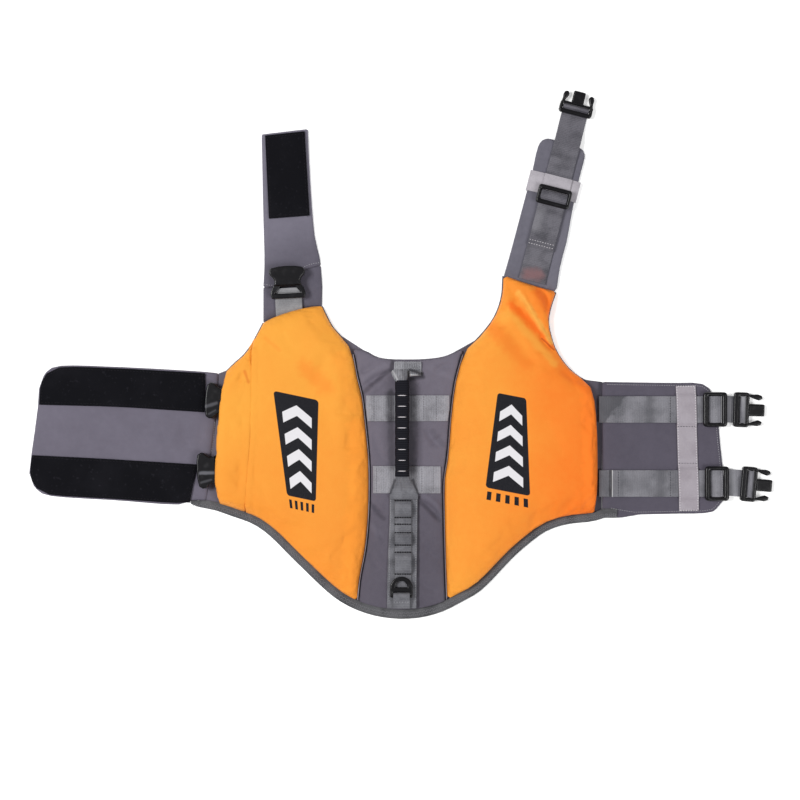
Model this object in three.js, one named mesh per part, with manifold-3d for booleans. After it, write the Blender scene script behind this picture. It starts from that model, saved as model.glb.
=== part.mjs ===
// A dog life jacket, unbuckled and laid out flat, seen as it lies on a table.
//
// Frame: millimetres, +Z up. The origin is on the underside, on the spine line, between the two belts. +X runs
// across the back to the male belt buckles, and +Y along the spine to the neck straps.
// Cloth pieces lie 0.3 mm apart at their seams, and what lies on a panel is made from the panel's own points.

import * as THREE from 'three';
import { mergeVertices } from 'three/addons/utils/BufferGeometryUtils.js';
import Module from 'manifold-3d';

// Driving sizes
const GAP = 0.3;               // between two pieces that touch
const SHELL = 2.0;             // inner shell, two layers of nylon
const SHELL_EDGE = 1.0;        // how far the shell shows past the foam panels
const BED = SHELL + GAP;       // height at which the panels on the shell start
const PIPING_RADIUS = 1.1;
const SEAM_HALF = PIPING_RADIUS + GAP;
const HEM_ROOM = 0.55;         // between the panels' chords and the hem binding
const BINDING_WIDTH = 7.4;
const BINDING_HEIGHT = 4.6;
const WEB = 1.2;               // thickness of all webbing
const WIDE = 25;               // belt and handle webbing
const NARROW = 15.2;           // webbing of the loops and the ring's tab
const TAPE = 1.5;              // hook-and-loop tape
const LIFT = 0.4;              // clearance of what lies on a curved panel
const FLAP = 2.8;              // edge thickness of the belly pieces
const STRAP = 2.6;             // thickness of the left neck strap

// Colours of the materials
const ORANGE_LIGHT = 0xfca63a;
const ORANGE_DEEP = 0xfb8a2a;
const GREY_CLOTH = 0x6e6979;
const GREY_BINDING = 0x60605f;
const GREY_WEBBING = 0x85858a;
const GREY_TAPE = 0xa9a2aa;
const GREY_ELASTIC = 0xbdb6bc;
const BLACK_TAPE = 0x17171a;
const BLACK_PLASTIC = 0x0e0e10;
const BLACK_GRIP = 0x1c1c20;

const wasm = await Module();
wasm.setup();

const jacket = new THREE.Group();

// Tables and curves

/** Turns rows of numbers into objects, with the column names given as one string. */
function table(columns, rows) {
  const names = columns.split(' ');
  return rows.map((row) => Object.fromEntries(names.map((name, i) => [name, row[i]])));
}

/** A smooth curve through a table of x and y, in the plane. */
function curve(points) {
  return new THREE.CatmullRomCurve3(points.map(({ x, y }) => new THREE.Vector3(x, y, 0)), false, 'centripetal');
}

/** A straight curve between two points. */
function straight(x1, y1, x2, y2) {
  return new THREE.LineCurve3(new THREE.Vector3(x1, y1, 0), new THREE.Vector3(x2, y2, 0));
}

/** The same curve, moved sideways to its left by a distance that may change along it. */
function offset(path, distance, count = 40) {
  const points = [];
  for (let i = 0; i <= count; i += 1) {
    const t = i / count;
    const point = path.getPointAt(t);
    const tangent = path.getTangentAt(t);
    const away = typeof distance === 'function' ? distance(point) : distance;
    points.push({ x: point.x - tangent.y * away, y: point.y + tangent.x * away });
  }
  return curve(points);
}

/** How far along a curve, from 0 to 1, it passes closest to a place. */
function nearest(path, x, y) {
  const steps = 400;
  let best = 0;
  let least = Infinity;
  for (let i = 0; i <= steps; i += 1) {
    const point = path.getPointAt(i / steps);
    const away = Math.hypot(point.x - x, point.y - y);
    if (away < least) {
      least = away;
      best = i / steps;
    }
  }
  return best;
}

/** The stretch of a curve between the points closest to two places. */
function stretch(path, from, to, count = 14) {
  const start = nearest(path, from.x, from.y);
  const end = nearest(path, to.x, to.y);
  const points = [];
  for (let i = 0; i <= count; i += 1) {
    points.push(path.getPointAt(start + ((end - start) * i) / count));
  }
  return curve(points);
}

/** A rail that runs up from the hem, cut off where it meets the line of the hem. */
function fromHem(rail, hem) {
  const steps = 80;
  const reach = 0.12;
  let best = 0;
  let least = Infinity;
  for (let i = 0; i <= steps; i += 1) {
    const { x, y } = rail.getPointAt((reach * i) / steps);
    const away = toPath(hem, x, y, 120);
    if (away < least) {
      least = away;
      best = (reach * i) / steps;
    }
  }
  return curve(even(41).map((t) => rail.getPointAt(Math.min(1, best + (1 - best) * t))));
}

/** Values from 0 to 1, close together at both ends, where a panel rolls over. */
function rolled(count) {
  return Array.from({ length: count }, (_, i) => 0.5 - 0.5 * Math.cos((Math.PI * i) / (count - 1)));
}

/** Values from 0 to 1, evenly spaced. */
function even(count) {
  return Array.from({ length: count }, (_, i) => i / (count - 1));
}

/** A grid of points between four curves. Left and right run upwards, bottom and top from left to right. */
function patch({ left, right, bottom, top }, us, vs) {
  const low = [left.getPointAt(0), right.getPointAt(0)];
  const high = [left.getPointAt(1), right.getPointAt(1)];
  const fitted = (path, ends, u) => {
    const point = path.getPointAt(u);
    point.addScaledVector(ends[0].clone().sub(path.getPointAt(0)), 1 - u);
    return point.addScaledVector(ends[1].clone().sub(path.getPointAt(1)), u);
  };
  return vs.map((v) => us.map((u) => {
    const point = new THREE.Vector3();
    point.addScaledVector(fitted(bottom, low, u), 1 - v);
    point.addScaledVector(fitted(top, high, u), v);
    point.addScaledVector(left.getPointAt(v), 1 - u);
    point.addScaledVector(right.getPointAt(v), u);
    point.addScaledVector(low[0], -(1 - u) * (1 - v));
    point.addScaledVector(low[1], -u * (1 - v));
    point.addScaledVector(high[0], -(1 - u) * v);
    return point.addScaledVector(high[1], -u * v);
  }));
}

// Solids

/** The places on a grid's rim, counter-clockwise, as row and column. */
function rimOf(rows, columns) {
  const rim = [];
  for (let c = 0; c < columns - 1; c += 1) rim.push([0, c]);
  for (let r = 0; r < rows - 1; r += 1) rim.push([r, columns - 1]);
  for (let c = columns - 1; c > 0; c -= 1) rim.push([rows - 1, c]);
  for (let r = rows - 1; r > 0; r -= 1) rim.push([r, 0]);
  return rim;
}

/** A closed solid under a grid of points, with a flat underside at one height. */
function padSolid(grid, floor) {
  const rows = grid.length;
  const columns = grid[0].length;
  const points = grid.flat().map((point) => point.clone());
  const faces = [];
  for (let r = 0; r < rows - 1; r += 1) {
    for (let c = 0; c < columns - 1; c += 1) {
      const i = r * columns + c;
      faces.push(i, i + 1, i + columns + 1, i, i + columns + 1, i + columns);
    }
  }
  const rim = rimOf(rows, columns);
  const first = points.length;
  rim.forEach(([r, c]) => points.push(new THREE.Vector3(grid[r][c].x, grid[r][c].y, floor)));
  rim.forEach(([r, c], i) => {
    const next = (i + 1) % rim.length;
    const top = r * columns + c;
    const topNext = rim[next][0] * columns + rim[next][1];
    faces.push(top, first + i, first + next, top, first + next, topNext);
  });
  const contour = rim.map(([r, c]) => new THREE.Vector2(grid[r][c].x, grid[r][c].y));
  THREE.ShapeUtils.triangulateShape(contour, []).forEach(([a, b, c]) => faces.push(first + a, first + c, first + b));
  return indexed(points, faces);
}

/** A closed solid between two grids of the same size, the lower one given first. */
function layerSolid(lower, upper) {
  const rows = upper.length;
  const columns = upper[0].length;
  const points = [...upper.flat(), ...lower.flat()].map((point) => point.clone());
  const under = rows * columns;
  const faces = [];
  for (let r = 0; r < rows - 1; r += 1) {
    for (let c = 0; c < columns - 1; c += 1) {
      const i = r * columns + c;
      faces.push(i, i + 1, i + columns + 1, i, i + columns + 1, i + columns);
      faces.push(under + i, under + i + columns + 1, under + i + 1);
      faces.push(under + i, under + i + columns, under + i + columns + 1);
    }
  }
  const rim = rimOf(rows, columns).map(([r, c]) => r * columns + c);
  rim.forEach((place, i) => {
    const next = rim[(i + 1) % rim.length];
    faces.push(place, under + place, under + next, place, under + next, next);
  });
  return indexed(points, faces);
}

/** A closed solid through rings of points that all have the same count, with fan caps. */
function ringSolid(rings) {
  const count = rings[0].length;
  const points = rings.flat().map((point) => point.clone());
  const faces = [];
  for (let r = 0; r < rings.length - 1; r += 1) {
    for (let i = 0; i < count; i += 1) {
      const next = (i + 1) % count;
      const a = r * count + i;
      const b = r * count + next;
      faces.push(a, b, b + count, a, b + count, a + count);
    }
  }
  const last = (rings.length - 1) * count;
  for (let i = 1; i < count - 1; i += 1) {
    faces.push(0, i + 1, i);
    faces.push(last, last + i, last + i + 1);
  }
  return indexed(points, faces);
}

function indexed(points, faces) {
  const geometry = new THREE.BufferGeometry().setFromPoints(points);
  geometry.setIndex(faces);
  geometry.computeVertexNormals();
  return geometry;
}

/** A closed mesh as a solid that can be joined and cut. */
function toSolid(geometry) {
  const bare = geometry.clone();
  bare.deleteAttribute('normal');
  bare.deleteAttribute('uv');
  const merged = mergeVertices(bare, 1e-4);
  return new wasm.Manifold(new wasm.Mesh({
    numProp: 3,
    vertProperties: new Float32Array(merged.attributes.position.array),
    triVerts: new Uint32Array(merged.index.array),
  }));
}

function fromSolid(solid) {
  const mesh = solid.getMesh();
  const geometry = new THREE.BufferGeometry();
  geometry.setAttribute('position', new THREE.BufferAttribute(new Float32Array(mesh.vertProperties), 3));
  geometry.setIndex(new THREE.BufferAttribute(new Uint32Array(mesh.triVerts), 1));
  geometry.computeVertexNormals();
  return geometry;
}

function cut(geometry, ...tools) {
  return fromSolid(tools.reduce((solid, tool) => solid.subtract(toSolid(tool)), toSolid(geometry)));
}

function join(geometry, ...others) {
  return fromSolid(others.reduce((solid, other) => solid.add(toSolid(other)), toSolid(geometry)));
}

/** A box from its lowest and highest corners. */
function box(x1, y1, z1, x2, y2, z2) {
  return new THREE.BoxGeometry(x2 - x1, y2 - y1, z2 - z1).translate((x1 + x2) / 2, (y1 + y2) / 2, (z1 + z2) / 2);
}

/** A flat plate with bevelled edges, from height 0 up. */
function plate(shape, height, bevel, curveSegments = 5) {
  return new THREE.ExtrudeGeometry(shape, {
    depth: height - 2 * bevel,
    bevelEnabled: true,
    bevelThickness: bevel,
    bevelSize: bevel,
    bevelOffset: -bevel,
    bevelSegments: 1,
    curveSegments,
  }).translate(0, 0, bevel);
}

/** A rectangle with rounded corners, as a shape or as a hole in one. */
function roundedRectangle(x1, y1, x2, y2, radius, Kind = THREE.Shape) {
  const shape = new Kind();
  shape.moveTo(x1 + radius, y1);
  shape.lineTo(x2 - radius, y1);
  shape.absarc(x2 - radius, y1 + radius, radius, -Math.PI / 2, 0);
  shape.lineTo(x2, y2 - radius);
  shape.absarc(x2 - radius, y2 - radius, radius, 0, Math.PI / 2);
  shape.lineTo(x1 + radius, y2);
  shape.absarc(x1 + radius, y2 - radius, radius, Math.PI / 2, Math.PI);
  shape.lineTo(x1, y1 + radius);
  shape.absarc(x1 + radius, y1 + radius, radius, Math.PI, 1.5 * Math.PI);
  return shape;
}

/** Adds a named piece to the jacket, or to a turned group in it. */
function addPiece(name, geometry, color, { parent = jacket, roughness = 0.85 } = {}) {
  const piece = new THREE.Mesh(geometry, new THREE.MeshStandardMaterial({ color, roughness, metalness: 0 }));
  piece.name = name;
  parent.add(piece);
  return piece;
}

const plastic = (parent = jacket) => ({ parent, roughness: 0.35 });

// Surfaces

/** Smooth rise from 0 at an edge to 1 at the end of its roll, round like a cushion's side. */
function roll(distance, width) {
  const left = 1 - Math.min(distance / width, 1);
  return Math.sqrt(1 - left * left);
}

/** Distance from a place to the straight piece between two points. */
function toSegment(x, y, x1, y1, x2, y2) {
  const length2 = (x2 - x1) ** 2 + (y2 - y1) ** 2;
  const t = Math.min(1, Math.max(0, ((x - x1) * (x2 - x1) + (y - y1) * (y2 - y1)) / length2));
  return Math.hypot(x - x1 - t * (x2 - x1), y - y1 - t * (y2 - y1));
}

function toPath(path, x, y, count = 40) {
  let least = Infinity;
  const points = path.getSpacedPoints(count);
  for (let i = 0; i < count; i += 1) {
    least = Math.min(least, toSegment(x, y, points[i].x, points[i].y, points[i + 1].x, points[i + 1].y));
  }
  return least;
}

/**
 * Lifts a flat grid to a padded surface. Each side has the height of its edge and the width of its roll, and
 * each fold is a soft trough (depth below 0) or ridge along a straight line.
 */
function lifted(grid, sides, { floor, crown, edges, folds = [] }) {
  return grid.map((row) => row.map(({ x, y }) => {
    let height = 1;
    edges.forEach(({ side, edge, width }) => {
      const low = edge / crown;
      height *= low + (1 - low) * roll(toPath(sides[side], x, y), width);
    });
    const shape = folds.reduce((sum, { x1, y1, x2, y2, width, depth }) => {
      const away = toSegment(x, y, x1, y1, x2, y2) / width;
      return sum + depth * Math.exp(-away * away);
    }, 0);
    const rim = Math.min(...Object.values(sides).map((side) => toPath(side, x, y)));
    return new THREE.Vector3(x, y, floor + crown * height + shape * Math.min(1, 0.25 + rim / 12));
  }));
}

/** A grid moved straight up. */
const raised = (grid, dz) => grid.map((row) => row.map(({ x, y, z }) => new THREE.Vector3(x, y, z + dz)));

/** The height of a grid's own faces at a place, or that of its closest point outside it. */
function heightOn(grid) {
  const triangles = [];
  for (let r = 0; r < grid.length - 1; r += 1) {
    for (let c = 0; c < grid[0].length - 1; c += 1) {
      triangles.push(new THREE.Triangle(grid[r][c], grid[r][c + 1], grid[r + 1][c + 1]));
      triangles.push(new THREE.Triangle(grid[r][c], grid[r + 1][c + 1], grid[r + 1][c]));
    }
  }
  const flat = triangles.map(({ a, b, c }) => new THREE.Triangle(...[a, b, c].map((p) => p.clone().setZ(0))));
  const all = grid.flat();
  return (x, y) => {
    const place = new THREE.Vector3(x, y, 0);
    const weights = new THREE.Vector3();
    for (let i = 0; i < flat.length; i += 1) {
      if (flat[i].getBarycoord(place, weights) && Math.min(weights.x, weights.y, weights.z) > -1e-4) {
        const { a, b, c } = triangles[i];
        return a.z * weights.x + b.z * weights.y + c.z * weights.z;
      }
    }
    return all.reduce((best, p) => (Math.hypot(p.x - x, p.y - y) < Math.hypot(best.x - x, best.y - y) ? p : best)).z;
  };
}

/** A layer of even thickness that lies on a surface. */
function laidOn(surface, sides, us, vs, thickness, lift = LIFT) {
  const grid = patch(sides, us, vs);
  const lower = grid.map((row) => row.map(({ x, y }) => new THREE.Vector3(x, y, surface(x, y) + lift)));
  return { geometry: layerSolid(lower, raised(lower, thickness)), top: raised(lower, thickness) };
}

/**
 * A strip of webbing that runs along +Y or +X in its group, through stations of place, sideways shift, height of
 * its underside, width and thickness, with a skew where it is cut at a slant. Its thickness stands square on its run.
 */
function webbing(stations, along = 'y') {
  const rings = stations.map((station, i) => {
    const before = stations[Math.max(i - 1, 0)];
    const after = stations[Math.min(i + 1, stations.length - 1)];
    const run = Math.hypot(after.at - before.at, after.z - before.z);
    const lean = -(after.z - before.z) / run;
    const rise = (after.at - before.at) / run;
    const { at, shift = 0, z, width = WIDE, thick = WEB, skew = 0 } = station;
    const corner = (side, up) => (along === 'y'
      ? new THREE.Vector3(shift + side * width / 2, at + side * skew + lean * up, z + rise * up)
      : new THREE.Vector3(at + side * skew + lean * up, shift - side * width / 2, z + rise * up));
    return [corner(-1, 0), corner(-1, thick), corner(1, thick), corner(1, 0)];
  });
  return ringSolid(rings);
}

// Outlines of the body, all as x and y

const BELLY_SEAM = 186;

const hemOuter = curve(table('x y', [
  [-198, -24], [-189, -27], [-173, -29.5], [-159, -34], [-140, -41], [-126, -50.5], [-99, -77], [-64, -109.5],
  [-46, -120], [-29, -126], [-12, -129], [3, -129.5], [18, -128], [36, -123], [56, -113], [72, -103.5],
  [104, -71], [119, -58], [134, -47.5], [152, -41.5], [178, -38.5], [204, -34],
]));
const bindingWidth = ({ x }) => {
  const ends = Math.min(1, 0.4 + Math.min(x + 198, 204 - x) / 20);
  return BINDING_WIDTH * ends + 1.2 * Math.exp(-((x / 60) ** 2));
};
const hemLine = offset(hemOuter, (point) => bindingWidth(point) + HEM_ROOM, 60);

const flapSeam = curve(table('x y', [[-184, -20], [-182, -9], [-179, 26], [-176, 45], [-173.5, 70], [-172, 99]]));

const leftSide = curve(table('x y', [[-169.6, -25], [-174.5, -5], [-173.5, 28], [-171, 64], [-168.5, 84], [-164, 101]]));
const leftArmholeLow = curve(table('x y', [[-164, 101], [-157, 108], [-148, 116], [-140.5, 126]]));
const leftArmholeHigh = table('x y', [[-139.5, 128], [-134, 138], [-130, 146]]);
const foamSeam = table('x y', [[-146.8, -34], [-145, -5], [-142, 35], [-140.5, 70], [-140, 126]]);
const leftTop = curve(table('x y', [[-130, 146], [-123, 150], [-110, 155], [-96, 159], [-85, 161], [-76, 161.5]]));
const leftSeam = table('x y', [
  [-42.4, -118], [-39.5, -90], [-35, -67], [-32, -38], [-31, -5], [-31.5, 20], [-35, 56], [-38, 80], [-42, 95], [-48, 122],
]);
const leftNeck = table('x y', [[-56, 131], [-66, 142], [-72, 153], [-76, 161.5]]);
const rightSeam = table('x y', [
  [40.5, -120], [39, -76], [38, -35], [38, 2], [41, 20], [44, 58], [48, 90], [52, 106], [57.5, 121],
]);
const rightNeck = table('x y', [[68, 129], [77, 139], [85, 150], [90, 161], [93, 173], [94, 190]]);
const rightTop = curve(table('x y', [[94, 190], [110, 184.5], [128, 179], [142, 175]]));
const rightArmhole = table('x y', [
  [142, 175], [137, 160], [135, 148], [137, 136], [142, 121], [152, 106], [163, 96], [170, 92],
]);
const rightSide = table('x y', [[174.5, 86], [178, 74], [180, 53], [181, 20], [180, -16], [177, -34]]);
const leftEdge = curve([...leftSeam, ...leftNeck]);
const rightEdge = curve([...rightSeam, ...rightNeck]);
const neckEdge = curve(table('x y', [
  [-48, 122], [-35, 119], [-25, 113.5], [-14, 111.5], [4, 111], [22, 111.5], [39, 114], [50, 118.5], [57.5, 121],
]));

// Inner shell: one flat layer under the whole body
{
  const shape = new THREE.Shape();
  const down = (path, count = 60) => path.getSpacedPoints(count).reverse();
  const rim = [
    ...offset(flapSeam, -GAP).getSpacedPoints(24),
    ...offset(leftArmholeLow, SHELL_EDGE).getSpacedPoints(6),
    ...offset(curve(leftArmholeHigh), SHELL_EDGE).getSpacedPoints(5),
    ...offset(leftTop, -GAP).getSpacedPoints(6),
    ...down(offset(curve(leftNeck), -SHELL_EDGE), 12).slice(0, 12),
    ...offset(neckEdge, SHELL_EDGE).getSpacedPoints(20).slice(2, -2),
    ...offset(curve(rightNeck), SHELL_EDGE).getSpacedPoints(12),
    ...offset(rightTop, -GAP).getSpacedPoints(6),
    ...offset(curve(rightArmhole), SHELL_EDGE).getSpacedPoints(16),
    new THREE.Vector3(BELLY_SEAM - GAP / 2, 91, 0),
    ...down(stretch(hemLine, { x: -183, y: -20 }, { x: BELLY_SEAM - GAP / 2, y: -31 }, 60)),
  ];
  shape.setFromPoints(rim.map(({ x, y }) => new THREE.Vector2(x, y)));
  addPiece('inner_shell', new THREE.ExtrudeGeometry(shape, { depth: SHELL, bevelEnabled: false }), GREY_CLOTH);
}

// Foam panels and the centre panel

/** How far a panel keeps from the line of its seam: the piping's room, closing to nothing up the neck. */
const seamRoom = ({ y }) => SEAM_HALF * Math.min(1, Math.max(0, (132 - y) / 10));

const upward = (points) => [...points].reverse();

/** The four sides of a panel that ends on the hem line. */
function onHem(left, right, top) {
  const sides = { left: fromHem(left, hemLine), right: fromHem(right, hemLine), top };
  sides.bottom = stretch(hemLine, sides.left.getPointAt(0), sides.right.getPointAt(0));
  return sides;
}

/** A padded panel on the shell. Returns its grid, from which pieces on it take their height. */
function addPadded(name, sides, color, counts, settings) {
  const flat = patch(sides, rolled(counts.across), rolled(counts.along));
  const grid = lifted(flat, sides, settings);
  const geometry = padSolid(grid, settings.floor);
  return { name, color, grid, geometry, sides };
}

const leftOuterSides = onHem(leftSide, offset(curve(foamSeam), GAP / 2), leftArmholeLow);
const leftOuter = addPadded('orange_left_outer', leftOuterSides, ORANGE_LIGHT, { across: 8, along: 16 }, {
  floor: BED,
  crown: 15.5,
  edges: [
    { side: 'left', edge: 11.8, width: 7 },
    { side: 'top', edge: 7, width: 14 },
    { side: 'right', edge: 13, width: 7 },
    { side: 'bottom', edge: 5, width: 12 },
  ],
  folds: table('x1 y1 x2 y2 width depth', [
    [-152, 92, -145, 78, 4, -1.6],
    [-158, 70, -147, 60, 5, -1.0],
    [-150, 10, -152, -10, 5, -1.2],
  ]),
});

const leftMainSides = onHem(
  offset(curve([...foamSeam, ...leftArmholeHigh]), -GAP / 2),
  offset(leftEdge, seamRoom, 60),
  leftTop,
);
const leftMain = addPadded('orange_left_main', leftMainSides, ORANGE_LIGHT, { across: 15, along: 24 }, {
  floor: BED,
  crown: 15,
  edges: [
    { side: 'left', edge: 12, width: 9 },
    { side: 'top', edge: 5, width: 20 },
    { side: 'right', edge: 4.2, width: 26 },
    { side: 'bottom', edge: 4.4, width: 22 },
  ],
  folds: table('x1 y1 x2 y2 width depth', [
    [-93, 92, -74, 104, 10, -1.8],
    [-86, 84, -70, 60, 14, -1.0],
    [-96, 122, -84, 146, 9, -1.0],
    [-60, 118, -52, 96, 8, -0.9],
    [-96, -48, -84, -66, 12, -0.8],
  ]),
});

const rightSides = onHem(
  offset(rightEdge, (point) => -seamRoom(point), 60),
  curve([...upward(rightSide), ...upward(rightArmhole)]),
  rightTop,
);
const right = addPadded('orange_right', rightSides, ORANGE_DEEP, { across: 18, along: 28 }, {
  floor: BED,
  crown: 15,
  edges: [
    { side: 'left', edge: 4.2, width: 26 },
    { side: 'top', edge: 5, width: 18 },
    { side: 'right', edge: 6, width: 20 },
    { side: 'bottom', edge: 4.4, width: 22 },
  ],
  folds: table('x1 y1 x2 y2 width depth', [
    [108, 172, 138, 124, 6, -3.2],
    [122, 172, 142, 128, 5, 1.8],
    [124, 158, 136, 140, 4, -2.2],
    [112, 152, 126, 106, 12, -1.6],
    [96, 138, 104, 112, 9, -1.0],
    [126, -26, 118, -44, 9, -1.6],
  ]),
});

const seamOnly = (edge, end) => stretch(edge, edge.getPointAt(0), end, 40);
const centreSides = onHem(
  offset(seamOnly(leftEdge, { x: -48, y: 121 }), -SEAM_HALF),
  offset(seamOnly(rightEdge, { x: 57, y: 120 }), SEAM_HALF),
  neckEdge,
);
const centre = addPadded('centre_panel', centreSides, GREY_CLOTH, { across: 11, along: 22 }, {
  floor: BED,
  crown: 5,
  edges: [
    { side: 'left', edge: 3.6, width: 12 },
    { side: 'top', edge: 2.6, width: 12 },
    { side: 'right', edge: 3.6, width: 12 },
    { side: 'bottom', edge: 4.2, width: 10 },
  ],
});
const onCentre = heightOn(centre.grid);

[leftMain, right, centre].forEach(({ name, geometry, color }) => addPiece(name, geometry, color));

// Piping along both seams of the centre panel
[
  ['piping_left', leftEdge, { x: -47, y: 117 }, BLACK_GRIP],
  ['piping_right', rightEdge, { x: 56, y: 117 }, GREY_WEBBING],
].forEach(([name, edge, end, color]) => {
  const path = fromHem(seamOnly(edge, end), hemLine);
  const sides = 6;
  const rings = even(30).map((t) => {
    const point = path.getPointAt(t);
    const tangent = path.getTangentAt(t);
    return Array.from({ length: sides }, (_, i) => {
      const angle = (2 * Math.PI * (i + 0.5)) / sides;
      const across = PIPING_RADIUS * Math.cos(angle);
      return new THREE.Vector3(
        point.x - tangent.y * across,
        point.y + tangent.x * across,
        BED + 3.7 + PIPING_RADIUS * Math.sin(angle),
      );
    });
  });
  addPiece(name, ringSolid(rings), color);
});

// Hem binding, folded over the edge along the whole tail
{
  const section = table('inward up', [[0, 0], [0, 0.45], [0.15, 0.85], [0.42, 1], [0.85, 0.97], [1, 0.82], [1, 0]]);
  const rings = even(58).map((t) => {
    const point = hemOuter.getPointAt(t);
    const tangent = hemOuter.getTangentAt(t);
    const width = bindingWidth(point);
    return section.map(({ inward, up }) => new THREE.Vector3(
      point.x - tangent.y * width * inward,
      point.y + tangent.x * width * inward,
      BINDING_HEIGHT * up,
    )).reverse();
  });
  addPiece('hem_binding', ringSolid(rings), GREY_BINDING);
}

// Bands across the centre panel, from seam to seam
table('name low high', [['band_upper', 55, 80], ['band_lower', -12.3, 13]]).forEach(({ name, low, high }) => {
  const at = (side, y) => side.getPointAt(nearest(side, side.getPointAt(0.5).x, y));
  const rail = (side, inset) => offset(stretch(side, at(side, low), at(side, high), 6), inset, 8);
  const left = rail(centre.sides.left, -0.2);
  const far = rail(centre.sides.right, 0.2);
  const [a, b, c, d] = [left.getPointAt(0), far.getPointAt(0), left.getPointAt(1), far.getPointAt(1)];
  const sides = { left, right: far, bottom: straight(a.x, low, b.x, low), top: straight(c.x, high, d.x, high) };
  addPiece(name, laidOn(onCentre, sides, rolled(9), even(4), WEB).geometry, GREY_WEBBING);
});

// Handle, spine strip, loops and ring
const GRIP = { low: 3.5, high: 92.7, width: 13, height: 8.6, pitch: 10.3, groove: 0.5, under: 13.2, arch: 2.2 };

{
  const strap = table('at z shift width thick', [
    [93, 15.2, -0.8, 12, 4],
    [97, 14, -0.6, 14, 3.6],
    [100.4, 11.4, 0.8, 20, 2.2],
    [102.4, onCentre(4, 102.4) + 1.4, 3.6, 24.2, 1.4],
    [104, onCentre(4, 104) + LIFT, 4.5, 24.5, 1.3],
    [110.2, onCentre(4, 110.2) + LIFT, 4.5, 24.5, 1.3],
  ]);
  addPiece('handle_strap_upper', webbing(strap), GREY_WEBBING);

  const ribs = Math.floor((GRIP.high - GRIP.low) / GRIP.pitch);
  const stations = even(3 * ribs + 1).map((t, i) => ({ t, deep: i % 3 === 0 }));
  const sides = 10;
  const rings = stations.map(({ t, deep }) => {
    const y = GRIP.low + (GRIP.high - GRIP.low) * t;
    const size = 1 - (deep ? GRIP.groove / GRIP.width : 0);
    const middle = GRIP.under + GRIP.arch * Math.sin(Math.PI * t) + GRIP.height / 2;
    return Array.from({ length: sides }, (_, i) => {
      const angle = (2 * Math.PI * (i + 0.5)) / sides;
      const round = 0.78 + 0.22 / Math.max(Math.abs(Math.cos(angle)), Math.abs(Math.sin(angle)));
      return new THREE.Vector3(
        -0.8 + t * -0.1 + (size * round * GRIP.width * Math.cos(angle)) / 2.1,
        y,
        middle + (size * round * GRIP.height * Math.sin(angle)) / 2.1,
      );
    }).reverse();
  });
  addPiece('handle_grip', ringSolid(rings), BLACK_GRIP);
}

const strip = laidOn(onCentre, {
  left: curve(table('x y', [[-15, -119.4], [-14, -70], [-12.5, -35], [-12.5, -14.6]])),
  right: curve(table('x y', [[12.4, -119.4], [13, -70], [13.4, -35], [13.6, -14.6]])),
  bottom: straight(-15, -119.4, 12.4, -119.4),
  top: straight(-12.5, -14.6, 13.6, -14.6),
}, even(4), even(12), WEB);
addPiece('spine_strip', strip.geometry, GREY_WEBBING);
const onStrip = heightOn(strip.top);

addPiece('handle_strap_lower', webbing(table('at z shift width thick', [
  [-17.6, onStrip(0, -16) + GAP, 0.8, 26, 1.3],
  [-12.4, onStrip(0, -15) + 0.7, 0.7, 26, 1.3],
  [-7, onStrip(0, -15) + 1.6, 0.4, 21, 1.8],
  [-2, 12.4, 0, 14.5, 3],
  [3.2, 15.2, -0.8, 12, 4],
])), GREY_WEBBING);

addPiece('loop_webbing', webbing(table('at rise', [
  [-103.2, 0], [-89, 0], [-87, 0.1], [-83.5, 2], [-77, 2.8], [-70.5, 2], [-67.6, 0.1], [-66, 0], [-60.4, 0.1],
  [-58.4, 1.9], [-54.4, 2.6], [-50.6, 1.8], [-48.6, 0.1], [-41, 0], [-34.6, 0.1], [-32, 2], [-26.8, 2.7],
  [-21.8, 1.9], [-19.4, 0.1], [-18, 0],
]).map(({ at, rise }) => ({ at, z: onStrip(0, at) + GAP + 0.1 + rise, shift: 0.2, width: NARROW }))), GREY_WEBBING);

const RING = { x: -1.4, axis: -107.6, half: 10.7, apex: -89.5, thick: 2.8, bar: 3, eyeHalf: 5.4, eyeHigh: 6 };
const TUNNEL = 1.85;
const ringFloor = onStrip(RING.x, RING.axis) + GAP;
const ringAxis = ringFloor + WEB + TUNNEL;

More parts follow.
